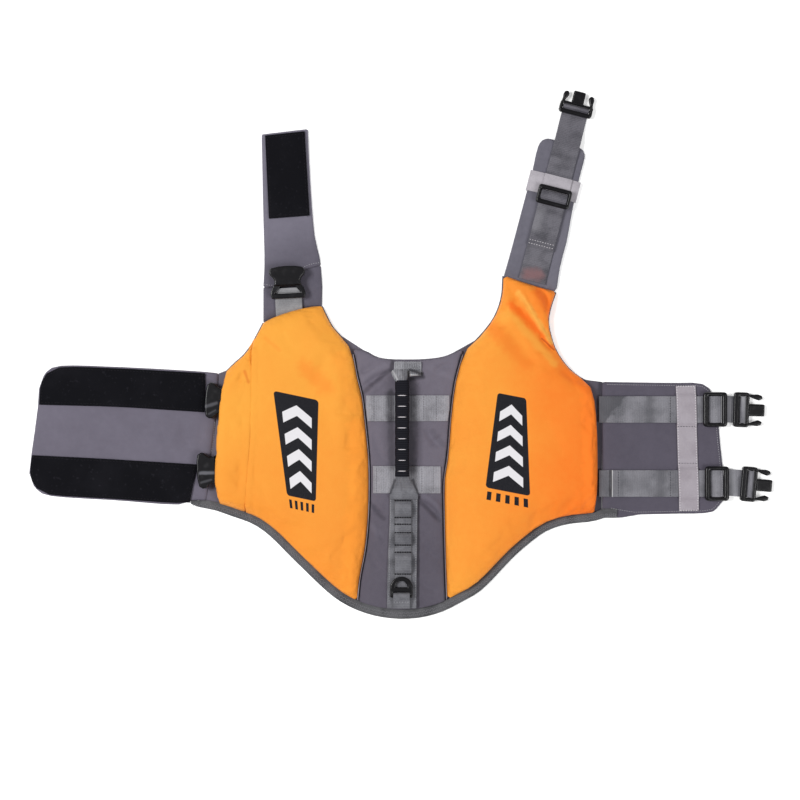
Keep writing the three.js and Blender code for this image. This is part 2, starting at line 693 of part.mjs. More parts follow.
{
  // The tab goes round the ring's lower bar and back down to the hem
  const outer = TUNNEL + WEB;
  const back = THREE.MathUtils.degToRad(114.7);
  const shape = new THREE.Shape();
  shape.moveTo(-119.2, ringFloor);
  shape.lineTo(RING.axis, ringFloor);
  shape.absarc(RING.axis, ringAxis, outer, -Math.PI / 2, back);
  shape.lineTo(-117.2, ringFloor + 2.2 * WEB);
  shape.lineTo(-119.2, ringFloor + 2 * WEB);
  const tunnel = new THREE.Path();
  tunnel.absarc(RING.axis, ringAxis, TUNNEL, 0, 2 * Math.PI);
  shape.holes.push(tunnel);
  const [along, up, across] = [new THREE.Vector3(0, 1, 0), new THREE.Vector3(0, 0, 1), new THREE.Vector3(1, 0, 0)];
  const geometry = new THREE.ExtrudeGeometry(shape, { depth: NARROW, bevelEnabled: false, curveSegments: 8 })
    .applyMatrix4(new THREE.Matrix4().makeBasis(along, up, across))
    .translate(RING.x - NARROW / 2, 0, 0);
  addPiece('d_ring_tab', geometry, GREY_WEBBING);

  // The moulded ring, with an eye above its wide bar and a slot for the tab below it
  const { x, half, apex, axis, bar, eyeHalf, eyeHigh, thick } = RING;
  const foot = axis - bar / 2;
  const ring = new THREE.Shape();
  ring.moveTo(x - half + 1.2, foot);
  ring.lineTo(x + half - 1.2, foot);
  ring.lineTo(x + half, foot + 1.2);
  ring.lineTo(x + half, apex - half);
  ring.absarc(x, apex - half, half, 0, Math.PI);
  ring.lineTo(x - half, foot + 1.2);
  const eyeFloor = -99.4;
  const eye = new THREE.Path();
  eye.moveTo(x - eyeHalf, eyeFloor);
  eye.absellipse(x, eyeFloor, eyeHalf, eyeHigh, Math.PI, 0, true);
  ring.holes.push(eye, roundedRectangle(x - 7.9, axis + bar / 2, x + 7.9, -103.9, 0.4, THREE.Path));
  addPiece('d_ring', plate(ring, thick, 0.6, 6).translate(0, 0, ringAxis - thick / 2), BLACK_PLASTIC, plastic());
}

// Buckles and slides, each in its own frame with the webbing running along +X

const BUCKLE = { webSlot: 13, femaleLength: 29, femaleHeight: 9, maleHeight: 6 };

/** The female half, its mouth at 0 and its sewn bar at the far end. */
function femaleBuckle() {
  const { webSlot, femaleLength, femaleHeight } = BUCKLE;
  const side = table('x y', [[1, 14.6], [4, 16.6], [7, 16], [10, 13.2], [13, 11.6], [16, 12.2], [20, 14.8], [25, 16.2], [29, 15]]);
  const shape = new THREE.Shape();
  shape.moveTo(-0.6, 0);
  shape.lineTo(-0.2, -8);
  side.forEach(({ x, y }) => shape.lineTo(x, -y));
  upward(side).forEach(({ x, y }) => shape.lineTo(x, y));
  shape.lineTo(-0.2, 8);
  const window = new THREE.Path();
  window.setFromPoints([[18, -7], [25, -webSlot], [25, webSlot], [18, 7]].map(([x, y]) => new THREE.Vector2(x, y)));
  shape.holes.push(window);
  return cut(
    plate(shape, femaleHeight, 0.8),
    box(-2, -12, 1.8, 15.6, 12, 7.2),
    box(16.8, -20, 6, femaleLength + 2, 20, femaleHeight + 1),
    box(24.4, -webSlot, -1, femaleLength + 2, webSlot, 2.1),
  );
}

/** Places along a male buckle: the rear bar's end, the rod's middle, the window's end and the frame's end. */
const BELT_MALE = { half: 16, rear: 4.6, rod: 8.6, window: 12.4, frame: 14, length: 28.5 };
const NECK_MALE = { half: 15.4, rear: 3.2, rod: 6.2, window: 9.2, frame: 10.6, length: 22 };

/** The male half, its rear bar at 0, with a tongue and two sprung arms. */
function maleBuckle({ half, rear, rod, window, frame, length }) {
  const { webSlot, maleHeight } = BUCKLE;
  const reach = (length - frame) / 14.5;
  const body = roundedRectangle(0, -half, frame, half, 2.4);
  body.holes.push(roundedRectangle(rear, -webSlot, window, webSlot, 0.6, THREE.Path));
  const tongue = roundedRectangle(frame - 1, -5.4, length, 5.4, 0.8);
  const arm = (side) => {
    const points = [[-1, 12.6], [1.5, 12.2], [5, 10.6], [9, 9.4], [12.4, 11], [11.6, 13.4], [8, 14.6], [4, 14.2], [1.5, 14.4], [-1, 15]];
    const shape = new THREE.Shape(points.map(([x, y]) => new THREE.Vector2(frame + x * reach, side * y)));
    return plate(shape, 4, 0.6).translate(0, 0, 0.8);
  };
  const bar = box(rod - 0.7, -webSlot - 0.6, 2.2, rod + 0.7, webSlot + 0.6, 3.8);
  const whole = join(plate(body, maleHeight, 0.6, 3), plate(tongue, 4, 0.6, 2).translate(0, 0, 0.8), arm(1), arm(-1), bar);
  return cut(whole, box(-1, -webSlot, -1, rear + 0.8, webSlot, 2.1));
}

/** A slide with two outer bars and a lower middle one. */
function slide(length, bar) {
  const frame = roundedRectangle(-length / 2, -15.4, length / 2, 15.4, 2.2);
  frame.holes.push(roundedRectangle(-length / 2 + bar, -13.1, length / 2 - bar, 13.1, 0.6, THREE.Path));
  return join(plate(frame, 3.2, 0.7, 3), box(-0.9, -13.6, 0.1, 0.9, 13.6, 1.7));
}

/** Heights of the webbing's underside where it goes up through a slide's window and over its middle bar. */
const overSlide = (centreAt, z, reach) => table('at z', [
  [centreAt - reach, z], [centreAt - 1.9, z + 3.3], [centreAt, z + 3.6], [centreAt + 1.9, z + 3.3],
  [centreAt + reach - 0.6, z + 1.6],
]);

/** Heights of the webbing's underside where it goes under a male buckle's rear bar and over its rod. */
const overRod = (z, { rear, rod, window }) => table('at z', [
  [-2, z], [rear + 0.9, z], [rod - 1.2, z + 3.5], [rod, z + 3.9], [rod + 1.2, z + 3.5], [window - 1.5, z + 1.8],
]);

/** A turned group at a place of the jacket. */
function frameAt(x, y, z, degrees) {
  const group = new THREE.Group();
  group.position.set(x, y, z);
  group.rotation.z = THREE.MathUtils.degToRad(degrees);
  jacket.add(group);
  return group;
}

// Left belly flap, with its tapes and female buckles
const flapSides = {
  left: curve(table('x y', [
    [-342, -8.5], [-346.5, -2], [-348.5, 7], [-347, 20], [-343, 48], [-340, 72], [-338.5, 90], [-333, 100],
  ])),
  top: curve(table('x y', [[-333, 100], [-328, 104], [-320, 106], [-267, 105], [-184, 100.3], [-172.2, 99]])),
  right: offset(flapSeam, GAP / 2),
  bottom: curve(table('x y', [
    [-342, -8.5], [-337, -12.5], [-331, -14.5], [-267, -19], [-206, -22.6], [-199, -20], [-190, -18.8], [-184.2, -20],
  ])),
};
const flap = addPadded('belly_flap_left', flapSides, GREY_CLOTH, { across: 16, along: 9 }, {
  floor: 0,
  crown: FLAP + 0.4,
  edges: ['left', 'top', 'right', 'bottom'].map((side) => ({ side, edge: FLAP - 0.4, width: 9 })),
});
addPiece(flap.name, flap.geometry, flap.color);
const onFlap = heightOn(flap.grid);

[
  {
    name: 'flap_tape_upper',
    left: table('x y', [[-339.2, 70], [-337.4, 90], [-332.4, 99]]),
    top: table('x y', [[-332.4, 99], [-327.4, 103], [-319.4, 105], [-267, 104], [-184.4, 99.4]]),
    right: table('x y', [[-185.4, 63], [-184.4, 99.4]]),
    bottom: table('x y', [[-339.2, 70], [-267, 68], [-185.4, 63]]),
  },
  {
    name: 'flap_tape_lower',
    left: table('x y', [[-341.4, -7.9], [-345.7, -1.6], [-347.6, 7], [-345.8, 23]]),
    top: table('x y', [[-345.8, 23], [-267, 19], [-192, 14.4]]),
    right: table('x y', [[-198.6, -21], [-192, 14.4]]),
    bottom: table('x y', [[-341.4, -7.9], [-336.6, -11.7], [-331, -13.6], [-267, -18], [-207, -21.7], [-198.6, -21]]),
  },
].forEach(({ name, left, top, right: end, bottom }) => {
  const sides = { left: curve(left), top: curve(top), right: curve(end), bottom: curve(bottom) };
  addPiece(name, laidOn(onFlap, sides, even(12), even(5), TAPE).geometry, BLACK_TAPE);
});

// The two belt buckles start on the flap and end in pockets under the left foam panel
const beltFemales = table('name x y turn', [['upper', -183.2, 74.2, -3], ['lower', -190.8, 8.4, 4]]);
const femaleFloor = FLAP + 0.8;
const pockets = beltFemales.map(({ name, x, y, turn }) => {
  const group = frameAt(x, y, femaleFloor, turn);
  addPiece(`buckle_female_${name}`, femaleBuckle(), BLACK_PLASTIC, plastic(group));
  addPiece(`female_tab_${name}`, webbing(table('at z width', [
    [19.6, 4, 11], [22, 2.4, 15], [24.2, 0.5, 22], [29.4, 0.5, 24.6], [34, 0.5, 24.6],
  ]), 'x'), GREY_WEBBING, { parent: group });
  const room = box(-4, -17.2, -3, 34.6, 17.2, BUCKLE.femaleHeight + 0.5);
  return room.rotateZ(THREE.MathUtils.degToRad(turn)).translate(x, y, femaleFloor);
});
addPiece(leftOuter.name, cut(leftOuter.geometry, ...pockets), leftOuter.color);

// Left neck strap, its patch and its female buckle
const strapSeam = table('x y', [[-130, 180], [-121, 178.6], [-106, 187], [-90, 197], [-77, 200]]);
const strapEdges = ['left', 'top', 'right', 'bottom'].map((side) => ({ side, edge: STRAP - 0.5, width: 6 }));
const strapLower = addPadded('neck_strap_lower', {
  left: straight(-130, 146.5, -130, 179.8),
  top: offset(curve(strapSeam), -GAP / 2),
  right: curve(table('x y', [[-76, 161.9], [-75.6, 180], [-77, 199.8]])),
  bottom: offset(leftTop, GAP),
}, GREY_CLOTH, { across: 7, along: 5 }, { floor: 0, crown: STRAP, edges: strapEdges });
const strapUpper = addPadded('neck_strap_upper', {
  left: curve(table('x y', [[-130, 180.2], [-129, 202], [-130, 244], [-131.6, 322]])),
  top: straight(-131.6, 322, -89, 327),
  right: curve(table('x y', [[-77, 200.2], [-78.5, 210], [-82, 223], [-85, 252], [-88, 301], [-89, 327]])),
  bottom: offset(curve(strapSeam), GAP / 2),
}, GREY_CLOTH, { across: 7, along: 14 }, {
  floor: 0,
  crown: STRAP + 0.6,
  edges: strapEdges,
  folds: table('x1 y1 x2 y2 width depth', [[-122, 224, -100, 226, 3, -0.4], [-98, 200, -84, 206, 5, -0.6]]),
});
[strapLower, strapUpper].forEach(({ name, geometry, color }) => addPiece(name, geometry, color));

addPiece('neck_patch', laidOn(heightOn(strapUpper.grid), {
  left: straight(-125, 243.4, -128.6, 321),
  top: straight(-128.6, 321, -91.6, 325),
  right: straight(-87, 246.4, -91.6, 325),
  bottom: straight(-125, 243.4, -87, 246.4),
}, even(5), even(9), TAPE).geometry, BLACK_TAPE);

{
  const floor = STRAP + 1.1;
  const group = frameAt(-108.2, 198.2, floor, -87);
  addPiece('buckle_female_neck', femaleBuckle(), BLACK_PLASTIC, plastic(group));
  addPiece('neck_female_tab', webbing(table('at z width skew', [
    [19.6, 4, 11, 0], [22, 2.4, 15, 0], [24.2, 0.5, 22, 0], [29.4, 0.5, 24.6, 0], [41.2, 0.5, 25, 2.75],
  ]), 'x'), GREY_WEBBING, { parent: group });
}

// Right neck pad and its webbing, in a frame that runs up the pad
{
  const group = frameAt(119, 183, 0, 75.6 - 90);
  const sides = {
    left: curve(table('x y', [[-25.6, 1], [-25, 20], [-24.6, 60], [-24.4, 100], [-25.2, 124], [-24, 131]])),
    top: curve(table('x y', [[-24, 131], [-21, 134.6], [-12, 135.6], [10, 134.4], [17, 133], [20, 128]])),
    right: curve(table('x y', [[24.6, 1], [22.4, 24], [22.6, 46], [20.2, 80], [19.8, 110], [20, 128]])),
    bottom: straight(-25.6, 1, 24.6, 1),
  };
  const pad = addPadded('neck_pad', sides, GREY_CLOTH, { across: 9, along: 16 }, {
    floor: 0,
    crown: 5.2,
    edges: ['left', 'top', 'right', 'bottom'].map((side) => ({ side, edge: 3, width: 9 })),
  });
  const keeper = { low: 83.4, high: 102.6, under: 1.2 };
  const notch = box(-40, keeper.low - GAP, -1, 40, keeper.high + GAP, keeper.under + GAP);
  addPiece('neck_pad', cut(pad.geometry, notch), GREY_CLOTH, { parent: group });

  const base = 5.6;
  const shift = 0.5;
  const lay = (name, stations) => addPiece(name, webbing(stations), GREY_WEBBING, { parent: group });
  lay('neck_web_base', table('at z shift', [[2, base, shift], [40, base, shift], [71.6, base, shift]]));
  const slideAt = 82.9;
  const slideFloor = 9.6;
  const maleAt = 162.4;
  lay('neck_web_double', [
    ...table('at z shift', [[33.6, base + 1.6, shift], [70, base + 1.6, shift], [75, base + 2.3, shift]]),
    ...overSlide(slideAt, slideFloor - 1.5, 4.4).map((station) => ({ ...station, shift })),
  ]);
  const upPad = (geometry, y, z) => geometry.rotateZ(Math.PI / 2).translate(shift, y, z);
  addPiece('neck_slide', upPad(slide(16.8, 3), slideAt, slideFloor), BLACK_PLASTIC, plastic(group));
  const run = [
    ...table('at z', [[72, base], [100, base], [130, base], [138, base - 0.4], [148, 2.4], [156, 0.8]]),
    ...overRod(0.4, NECK_MALE).map((station) => ({ ...station, at: station.at + maleAt })),
  ];
  lay('neck_web_run', run.map((station) => ({ ...station, shift, width: WIDE - 0.6 })));
  addPiece('buckle_male_neck', upPad(maleBuckle(NECK_MALE), maleAt, 0), BLACK_PLASTIC, plastic(group));

  // The elastic keeper is a band round the pad and the running webbing
  const onPad = heightOn(pad.grid);
  const middle = (keeper.low + keeper.high) / 2;
  const across = [-24.9, -23, -19, -14.6, -12.6, -12.3, 13.3, 13.6, 15.4, 18.4, 20.7];
  const innerTop = across.map((x) => {
    const onWeb = Math.abs(x - shift) < WIDE / 2 + 0.4 ? base + WEB : 0;
    return new THREE.Vector2(x, Math.max(onPad(Math.max(-24.4, Math.min(19.9, x)), middle), onWeb) + 0.45);
  });
  const outline = (points, grow, bottom) => [
    new THREE.Vector2(points[0].x - grow, bottom),
    ...points.map((p, i) => new THREE.Vector2(p.x + (i === 0 ? -grow : 0) + (i === points.length - 1 ? grow : 0), p.y + grow)),
    new THREE.Vector2(points[points.length - 1].x + grow, bottom),
  ];
  const shape = new THREE.Shape().setFromPoints(outline(innerTop, 1.2, 0));
  shape.holes.push(new THREE.Path().setFromPoints(upward(outline(innerTop, 0, keeper.under))));
  const elastic = new THREE.ExtrudeGeometry(shape, { depth: keeper.high - keeper.low, bevelEnabled: false })
    .applyMatrix4(new THREE.Matrix4().makeBasis(
      new THREE.Vector3(1, 0, 0), new THREE.Vector3(0, 0, 1), new THREE.Vector3(0, -1, 0),
    ))
    .translate(0, keeper.high, 0);
  addPiece('neck_elastic', elastic, GREY_ELASTIC, { parent: group });
}

// Right belly panel, its belts, keeper strip, slides and male buckles
{
  const sides = {
    left: straight(BELLY_SEAM + GAP / 2, -29, BELLY_SEAM + GAP / 2, 91),
    top: curve(table('x y', [[186.15, 91], [224, 90.4], [254, 90], [274, 90], [281, 88.4], [286, 84.5]])),
    right: curve(table('x y', [[289, -29.5], [294.5, -25], [299, -18], [298, 13], [296, 26], [294.6, 50], [290.6, 74], [286, 84.5]])),
    bottom: curve(table('x y', [[186.15, -29], [192, -28.3], [198, -29.4], [204, -30.4], [209, -32], [226, -32], [257, -31.4], [280, -31], [289, -29.5]])),
  };
  const panel = addPadded('belly_panel_right', sides, GREY_CLOTH, { across: 12, along: 10 }, {
    floor: 0,
    crown: FLAP + 0.4,
    edges: ['left', 'top', 'right', 'bottom'].map((side) => ({ side, edge: FLAP - 0.4, width: 9 })),
  });
  addPiece(panel.name, panel.geometry, panel.color);
  const onPanel = heightOn(panel.grid);

  const bed = FLAP + 1;
  const belts = table('name start y slideAt maleAt turn', [
    ['upper', 182.6, 65.6, 290.5, 308.3, -2],
    ['lower', 194.4, -3.4, 292.2, 315.4, -5],
  ]);
  belts.forEach(({ name, start, y, slideAt, maleAt, turn }) => {
    const folded = name === 'lower' ? [[start, 2 * WEB], [start + 9, 2 * WEB], [start + 9.4, WEB]] : [[start, WEB]];
    const stations = [
      ...folded.map(([at, thick]) => ({ at, thick, z: bed, shift: y })),
      ...overSlide(slideAt, bed, 5.9).map((station) => ({ ...station, shift: y })),
    ];
    addPiece(`belt_web_${name}`, webbing(stations, 'x'), GREY_WEBBING);
    addPiece(`slide_${name}`, slide(21, 3.6).translate(slideAt, y, bed + 1.5), BLACK_PLASTIC, plastic());

    const group = frameAt(maleAt, y, 0, turn);
    const from = slideAt + 7.6 - maleAt;
    addPiece(`belt_run_${name}`, webbing([
      ...table('at z', [[from, bed], [from + 3.6, bed], [from + 6.4, bed - 1.6], [-1.6, 1]]),
      ...overRod(0.4, BELT_MALE).slice(1),
    ], 'x'), GREY_WEBBING, { parent: group });
    addPiece(`buckle_male_${name}`, maleBuckle(BELT_MALE), BLACK_PLASTIC, plastic(group));
  });
  addPiece('belt_web_end', webbing(table('at z shift', [[182.6, bed, -3.4], [194, bed, -3.4]]), 'x'), GREY_WEBBING);

  // The keeper strip lies on the panel and climbs over both belts
  const rows = [-29.4, -22, -18.2, -16.5, -3, 9.7, 11.4, 16, 33, 49, 50.8, 52.5, 65, 78.7, 80.4, 84, 88.4];
  const span = { low: rows[0], high: rows[rows.length - 1] };
  const grid = patch({
    left: straight(257.4, span.low, 254.2, span.high),
    right: straight(276, span.low, 272.8, span.high),
    bottom: straight(257.4, span.low, 276, span.low),
    top: straight(254.2, span.high, 272.8, span.high),
  }, even(4), rows.map((y) => (y - span.low) / (span.high - span.low)));
  const lower = grid.map((row) => row.map(({ x, y }) => {
    const overBelt = belts.some((belt) => Math.abs(y - belt.y) < WIDE / 2 + 0.8);
    return new THREE.Vector3(x, y, overBelt ? bed + WEB + 0.35 : onPanel(x, y) + LIFT);
  }));
  addPiece('keeper_strip', layerSolid(lower, raised(lower, 1)), GREY_TAPE);
}

export default jacket;
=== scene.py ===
"""A padded dog life jacket, unbuckled and laid out flat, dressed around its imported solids.

Every piece but the stitches stands for one solid of the frame, and takes its place and size from it. Lengths
are in metres, +Z up, and tables of places are in millimetres.
"""

from __future__ import annotations

import logging
import math
import sys
from dataclasses import dataclass, field
from enum import Enum, IntEnum
from typing import Iterable, Sequence

import bmesh
import bpy
import numpy as np
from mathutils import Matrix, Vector
from mathutils.bvhtree import BVHTree

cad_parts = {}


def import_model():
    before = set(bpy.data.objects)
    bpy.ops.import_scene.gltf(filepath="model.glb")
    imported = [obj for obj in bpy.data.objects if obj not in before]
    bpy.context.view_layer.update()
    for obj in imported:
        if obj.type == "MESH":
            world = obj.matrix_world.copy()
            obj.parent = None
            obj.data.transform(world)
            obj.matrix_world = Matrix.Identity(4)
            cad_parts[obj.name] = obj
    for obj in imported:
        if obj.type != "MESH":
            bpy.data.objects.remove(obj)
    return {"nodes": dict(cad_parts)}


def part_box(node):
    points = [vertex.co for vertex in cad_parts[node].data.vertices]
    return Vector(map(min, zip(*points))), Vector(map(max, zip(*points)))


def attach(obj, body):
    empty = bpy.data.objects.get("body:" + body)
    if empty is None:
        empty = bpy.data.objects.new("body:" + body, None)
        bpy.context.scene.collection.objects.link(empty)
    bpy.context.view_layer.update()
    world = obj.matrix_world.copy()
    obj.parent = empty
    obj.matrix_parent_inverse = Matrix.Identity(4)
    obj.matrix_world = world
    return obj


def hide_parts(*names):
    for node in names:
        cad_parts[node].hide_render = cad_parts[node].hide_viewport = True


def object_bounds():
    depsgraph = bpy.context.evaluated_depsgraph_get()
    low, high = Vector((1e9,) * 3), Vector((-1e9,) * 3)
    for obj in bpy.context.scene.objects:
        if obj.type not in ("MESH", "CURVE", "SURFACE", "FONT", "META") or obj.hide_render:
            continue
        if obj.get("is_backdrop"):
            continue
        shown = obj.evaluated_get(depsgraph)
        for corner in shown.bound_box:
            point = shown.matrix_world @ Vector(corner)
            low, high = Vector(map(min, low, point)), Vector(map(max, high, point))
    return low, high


LOG = logging.getLogger("life_jacket")
MM = 0.001
PER_MM = 1000.0  # turns metres into millimetres
SEAM = 0.3 * MM  # each side of a seam goes this far past its solid, so that no gap shows
WELD = 2e-6  # corners of a solid that are closer than this are one
LEAST_CUT = 10 * MM  # no sheet is stated narrower or shorter
LEAST_SHARE = 0.31  # no strip is stated with less of its rectangle
CLEAR = 0.2  # a height well above the jacket
BESIDE = 0.3  # further along Y than any of the hem
WEB = 1.2 * MM  # how thick the wide webbing is
NECK_TURN = 75.6  # the direction in which the neck webbing runs, in degrees from +X
DOWN = Vector((0, 0, -1))
JACKET = "jacket"
RING = "ring"
LIGHT_LEVEL = 1.28  # what the studio's light makes of a white surface
LEFT_SEAM = (  # between the two left foam panels, as x and y in millimetres
    (-146.8, -34), (-145, -5), (-142, 35), (-140.5, 70), (-140, 126),
)

Colour = tuple[float, float, float, float]
Row = tuple[float, float, float, float, float]
Object = bpy.types.Object


def srgb(code: str, level: float = LIGHT_LEVEL) -> Colour:
    """Turns a colour as it shows in the studio into a surface colour.

    Args:
        code: six hexadecimal digits.
        level: how bright the light is on a white surface.

    Returns:
        Linear red, green, blue and alpha.
    """
    parts = [int(code[i : i + 2], 16) / 255 for i in (0, 2, 4)]
    linear = [c / 12.92 if c <= 0.04045 else ((c + 0.055) / 1.055) ** 2.4 for c in parts]
    return (*[c / level for c in linear], 1.0)


def assign(target: object, values: dict[str, object]) -> None:
    """Sets attributes by name."""
    for key, value in values.items():
        setattr(target, key, value)


def heading(degrees: float) -> tuple[float, float]:
    """The x and y of a direction, given as degrees from +X."""
    angle = math.radians(degrees)
    return math.cos(angle), math.sin(angle)


# Shading


class Value:
    """A socket that takes part in Python arithmetic. Each operator adds one Math node."""

    def __init__(self, shade: Shade, socket: bpy.types.NodeSocket) -> None:
        """Keeps the material and the socket."""
        self.shade = shade
        self.socket = socket

    def math(self, operation: str, *others: Value | float) -> Value:
        """Adds a Math node with this value first."""
        return self.shade.node("ShaderNodeMath", {"operation": operation}, dict(enumerate((self, *others))))

    def __add__(self, other: Value | float) -> Value:
        """Adds."""
        return self.math("ADD", other)

    __radd__ = __add__

    def __mul__(self, other: Value | float) -> Value:
        """Multiplies."""
        return self.math("MULTIPLY", other)

    __rmul__ = __mul__

    def __sub__(self, other: Value | float) -> Value:
        """Subtracts."""
        return self.math("SUBTRACT", other)

    def __rsub__(self, other: float) -> Value:
        """Subtracts this from a number."""
        return self * -1.0 + other

    def clear(self) -> Value:
        """Takes the sign off."""
        return self.math("ABSOLUTE")

    def over(self, other: Value | float) -> Value:
        """The larger of two."""
        return self.math("MAXIMUM", other)

    def under(self, other: Value | float) -> Value:
        """The smaller of two."""
        return self.math("MINIMUM", other)

    def ramp(self, low: float, high: float) -> Value:
        """Goes smoothly from 0 at low to 1 at high."""
        settings = {"interpolation_type": "SMOOTHSTEP"}
        inputs = {"Value": self, "From Min": low, "From Max": high}
        if low < high:
            return self.shade.node("ShaderNodeMapRange", settings, inputs)
        inputs.update({"From Min": high, "From Max": low})
        return 1.0 - self.shade.node("ShaderNodeMapRange", settings, inputs)

    def wave(self, pitch: float) -> Value:
        """Goes up and down between 0 and 1 once in each pitch."""
        return (self * (2 * math.pi / pitch)).math("SINE") * 0.5 + 0.5


class Shade:
    """A material with its Principled shader, and the nodes that feed it."""

    def __init__(self, name: str) -> None:
        """Starts an empty material."""
        self.material = bpy.data.materials.new(name)
        self.material.use_nodes = True
        self.tree = self.material.node_tree
        self.surface = self.tree.nodes["Principled BSDF"]
        self.place = self.node("ShaderNodeTexCoord", output="Object")
        axes = self.tree.nodes.new("ShaderNodeSeparateXYZ")
        self.tree.links.new(self.place.socket, axes.inputs[0])
        self.x, self.y, self.z = (Value(self, axes.outputs[i]) for i in range(3))

    def node(
        self,
        kind: str,
        settings: dict | None = None,
        inputs: dict | None = None,
        output: int | str = 0,
    ) -> Value:
        """Adds a node.

        Args:
            kind: the node's type.
            settings: its properties, which are set first.
            inputs: values or other nodes' outputs, by name or number.
            output: the output that is wanted.

        Returns:
            That output.
        """
        node = self.tree.nodes.new(kind)
        assign(node, settings or {})
        for key, value in (inputs or {}).items():
            if isinstance(value, Value):
                self.tree.links.new(value.socket, node.inputs[key])
            else:
                node.inputs[key].default_value = value
        return Value(self, node.outputs[output])

    def noise(self, size: float, detail: float = 2.0, stretch: Sequence[float] = (1, 1, 1)) -> Value:
        """Soft noise whose lumps are about size across, in metres, and stretched by factors."""
        place = self.node("ShaderNodeMapping", {}, {"Vector": self.place, "Scale": stretch})
        return self.node("ShaderNodeTexNoise", {}, {"Vector": place, "Scale": 1 / size, "Detail": detail})

    def mix(self, factor: Value | float, first: Value | Colour, second: Value | Colour) -> Value:
        """Mixes two colours."""
        return self.node(
            "ShaderNodeMix", {"data_type": "RGBA"}, {0: factor, 6: first, 7: second}, output=2
        )

    def turned(self, degrees: float) -> tuple[Value, Value]:
        """The places along and across a direction, given as degrees from +X."""
        c, s = heading(degrees)
        return self.x * c + self.y * s, self.y * c - self.x * s

    def finish(self, colour: Value, roughness: Value | float, height: Value | None, depth: float) -> None:
        """Feeds the shader.

        Args:
            colour: the base colour.
            roughness: how matt the surface is.
            height: the relief, from 0 to 1, or None.
            depth: how deep the relief is, in metres.
        """
        self.tree.links.new(colour.socket, self.surface.inputs["Base Color"])
        if isinstance(roughness, Value):
            self.tree.links.new(roughness.socket, self.surface.inputs["Roughness"])
        else:
            self.surface.inputs["Roughness"].default_value = roughness
        if height is not None:
            inputs = {"Height": height, "Distance": depth, "Strength": 1.0}
            bump = self.node("ShaderNodeBump", {}, inputs)
            self.tree.links.new(bump.socket, self.surface.inputs["Normal"])

    def constant(self, **values: float | Colour) -> None:
        """Sets sockets of the shader that are the same all over, by name with _ for a space."""
        for name, value in values.items():
            self.surface.inputs[name.replace("_", " ")].default_value = value


@dataclass(frozen=True)
class Finish:
    """What a surface is made of. Each kind of finish says how its shading is built."""

    name: str
    slot: str
    # streaks of another tone; most of them are painted light and shade
    tones: tuple[Tone, ...] = ()

    def shading(self, shade: Shade) -> None:
        """Builds the nodes of the finish."""
        raise NotImplementedError

    def toned(self, shade: Shade, colour: Value) -> Value:
        """Lays the finish's streaks of another tone over a colour."""
        for tone in self.tones:
            colour = tone.on(shade, colour)
        return colour

    def material(self) -> bpy.types.Material:
        """The finish's material, made when it is first asked for."""
        found = bpy.data.materials.get(self.name)
        if found:
            return found
        shade = Shade(self.name)
        self.shading(shade)
        return shade.material


@dataclass(frozen=True)
class Motif:
    """A plain printed patch: a dark slanted plate with light chevrons, and a row of dashes below it."""

    x: float
    y: float
    width: float
    height: float
    turn: float
    lean: float
    taper: float
    dark: Colour = srgb("17171E")
    light: Colour = srgb("ECEAEE")

    def on(self, shade: Shade, cloth: Value) -> tuple[Value, Value]:
        """Prints the patch over a cloth's colour.

        Args:
            shade: the cloth's material.
            cloth: the cloth's own colour.

        Returns:
            The printed colour, and a mask that is 1 where there is ink.
        """
        edge, corner, margin = 0.25 * MM, 3 * MM, 5 * MM
        half, tall = self.width / 2, self.height / 2
        along, across = shade.turned(self.turn)
        c, s = heading(self.turn)
        up = across - (self.y * c - self.x * s)
        side = along - (self.x * c + self.y * s) - up * self.lean
        side = side.math("DIVIDE", up * (self.taper / tall) + 1.0)
        aside = side.clear()

        out_side = (aside - half + corner).over(0.0)
        out_up = (up.clear() - tall + corner).over(0.0)
        plate = (out_side * out_side + out_up * out_up).math("SQRT").ramp(corner + edge, corner - edge)

        pitch = self.height / 4.7
        lowest, highest = -2 * pitch, 1.75 * pitch
        rise = up + aside * 0.7 - 8 * MM
        stack = rise.ramp(lowest - edge, lowest) * rise.ramp(highest + edge, highest)
        within = aside.ramp(half - margin, half - margin - 2 * edge)
        chevrons = rise.wave(pitch).ramp(0.5, 0.56) * stack * within

        gap, drop, length = self.width / 5, 7 * MM, 4 * MM
        below = (up + tall + drop).clear().ramp(length, length - edge)
        dashes = (side + gap / 4).wave(gap).ramp(0.5, 0.56) * below * aside.ramp(2.4 * gap, 2.35 * gap)
        ink = plate.over(dashes)
        return shade.mix(ink, cloth, shade.mix(chevrons, self.dark, self.light)), ink


@dataclass(frozen=True)
class Tone:
    """A soft streak of another tone between two places, in millimetres. Most streaks are painted light and
    shade: shadows, shade in folds and highlights; a few are a surface's own colour, such as a stain.
    """

    x1: float
    y1: float
    x2: float
    y2: float
    width: float
    amount: float
    code: str
    level: float = LIGHT_LEVEL
    soft: float = 0.9

    def on(self, shade: Shade, colour: Value) -> Value:
        """Lays the streak over a colour, with an uneven edge."""
        run = Vector((self.x2 - self.x1, self.y2 - self.y1)) * MM
        out_x, out_y = shade.x - self.x1 * MM, shade.y - self.y1 * MM
        along = out_x * (run.x / run.length_squared) + out_y * (run.y / run.length_squared)
        along = along.over(0.0).under(1.0)
        side_x, side_y = out_x - along * run.x, out_y - along * run.y
        uneven = (shade.noise(6 * MM, 2) - 0.5) * self.width * 0.8 * MM
        far = (side_x * side_x + side_y * side_y).math("SQRT") + uneven
        near = far.ramp(self.width * MM, (1 - self.soft) * self.width * MM)
        return shade.mix(near * self.amount, colour, srgb(self.code, self.level))


def streaks(*rows: Sequence[float | str]) -> tuple[Tone, ...]:
    """A table of streaks whose columns are the fields of Tone, where the last two may be left out."""
    return tuple(Tone(*row) for row in rows)


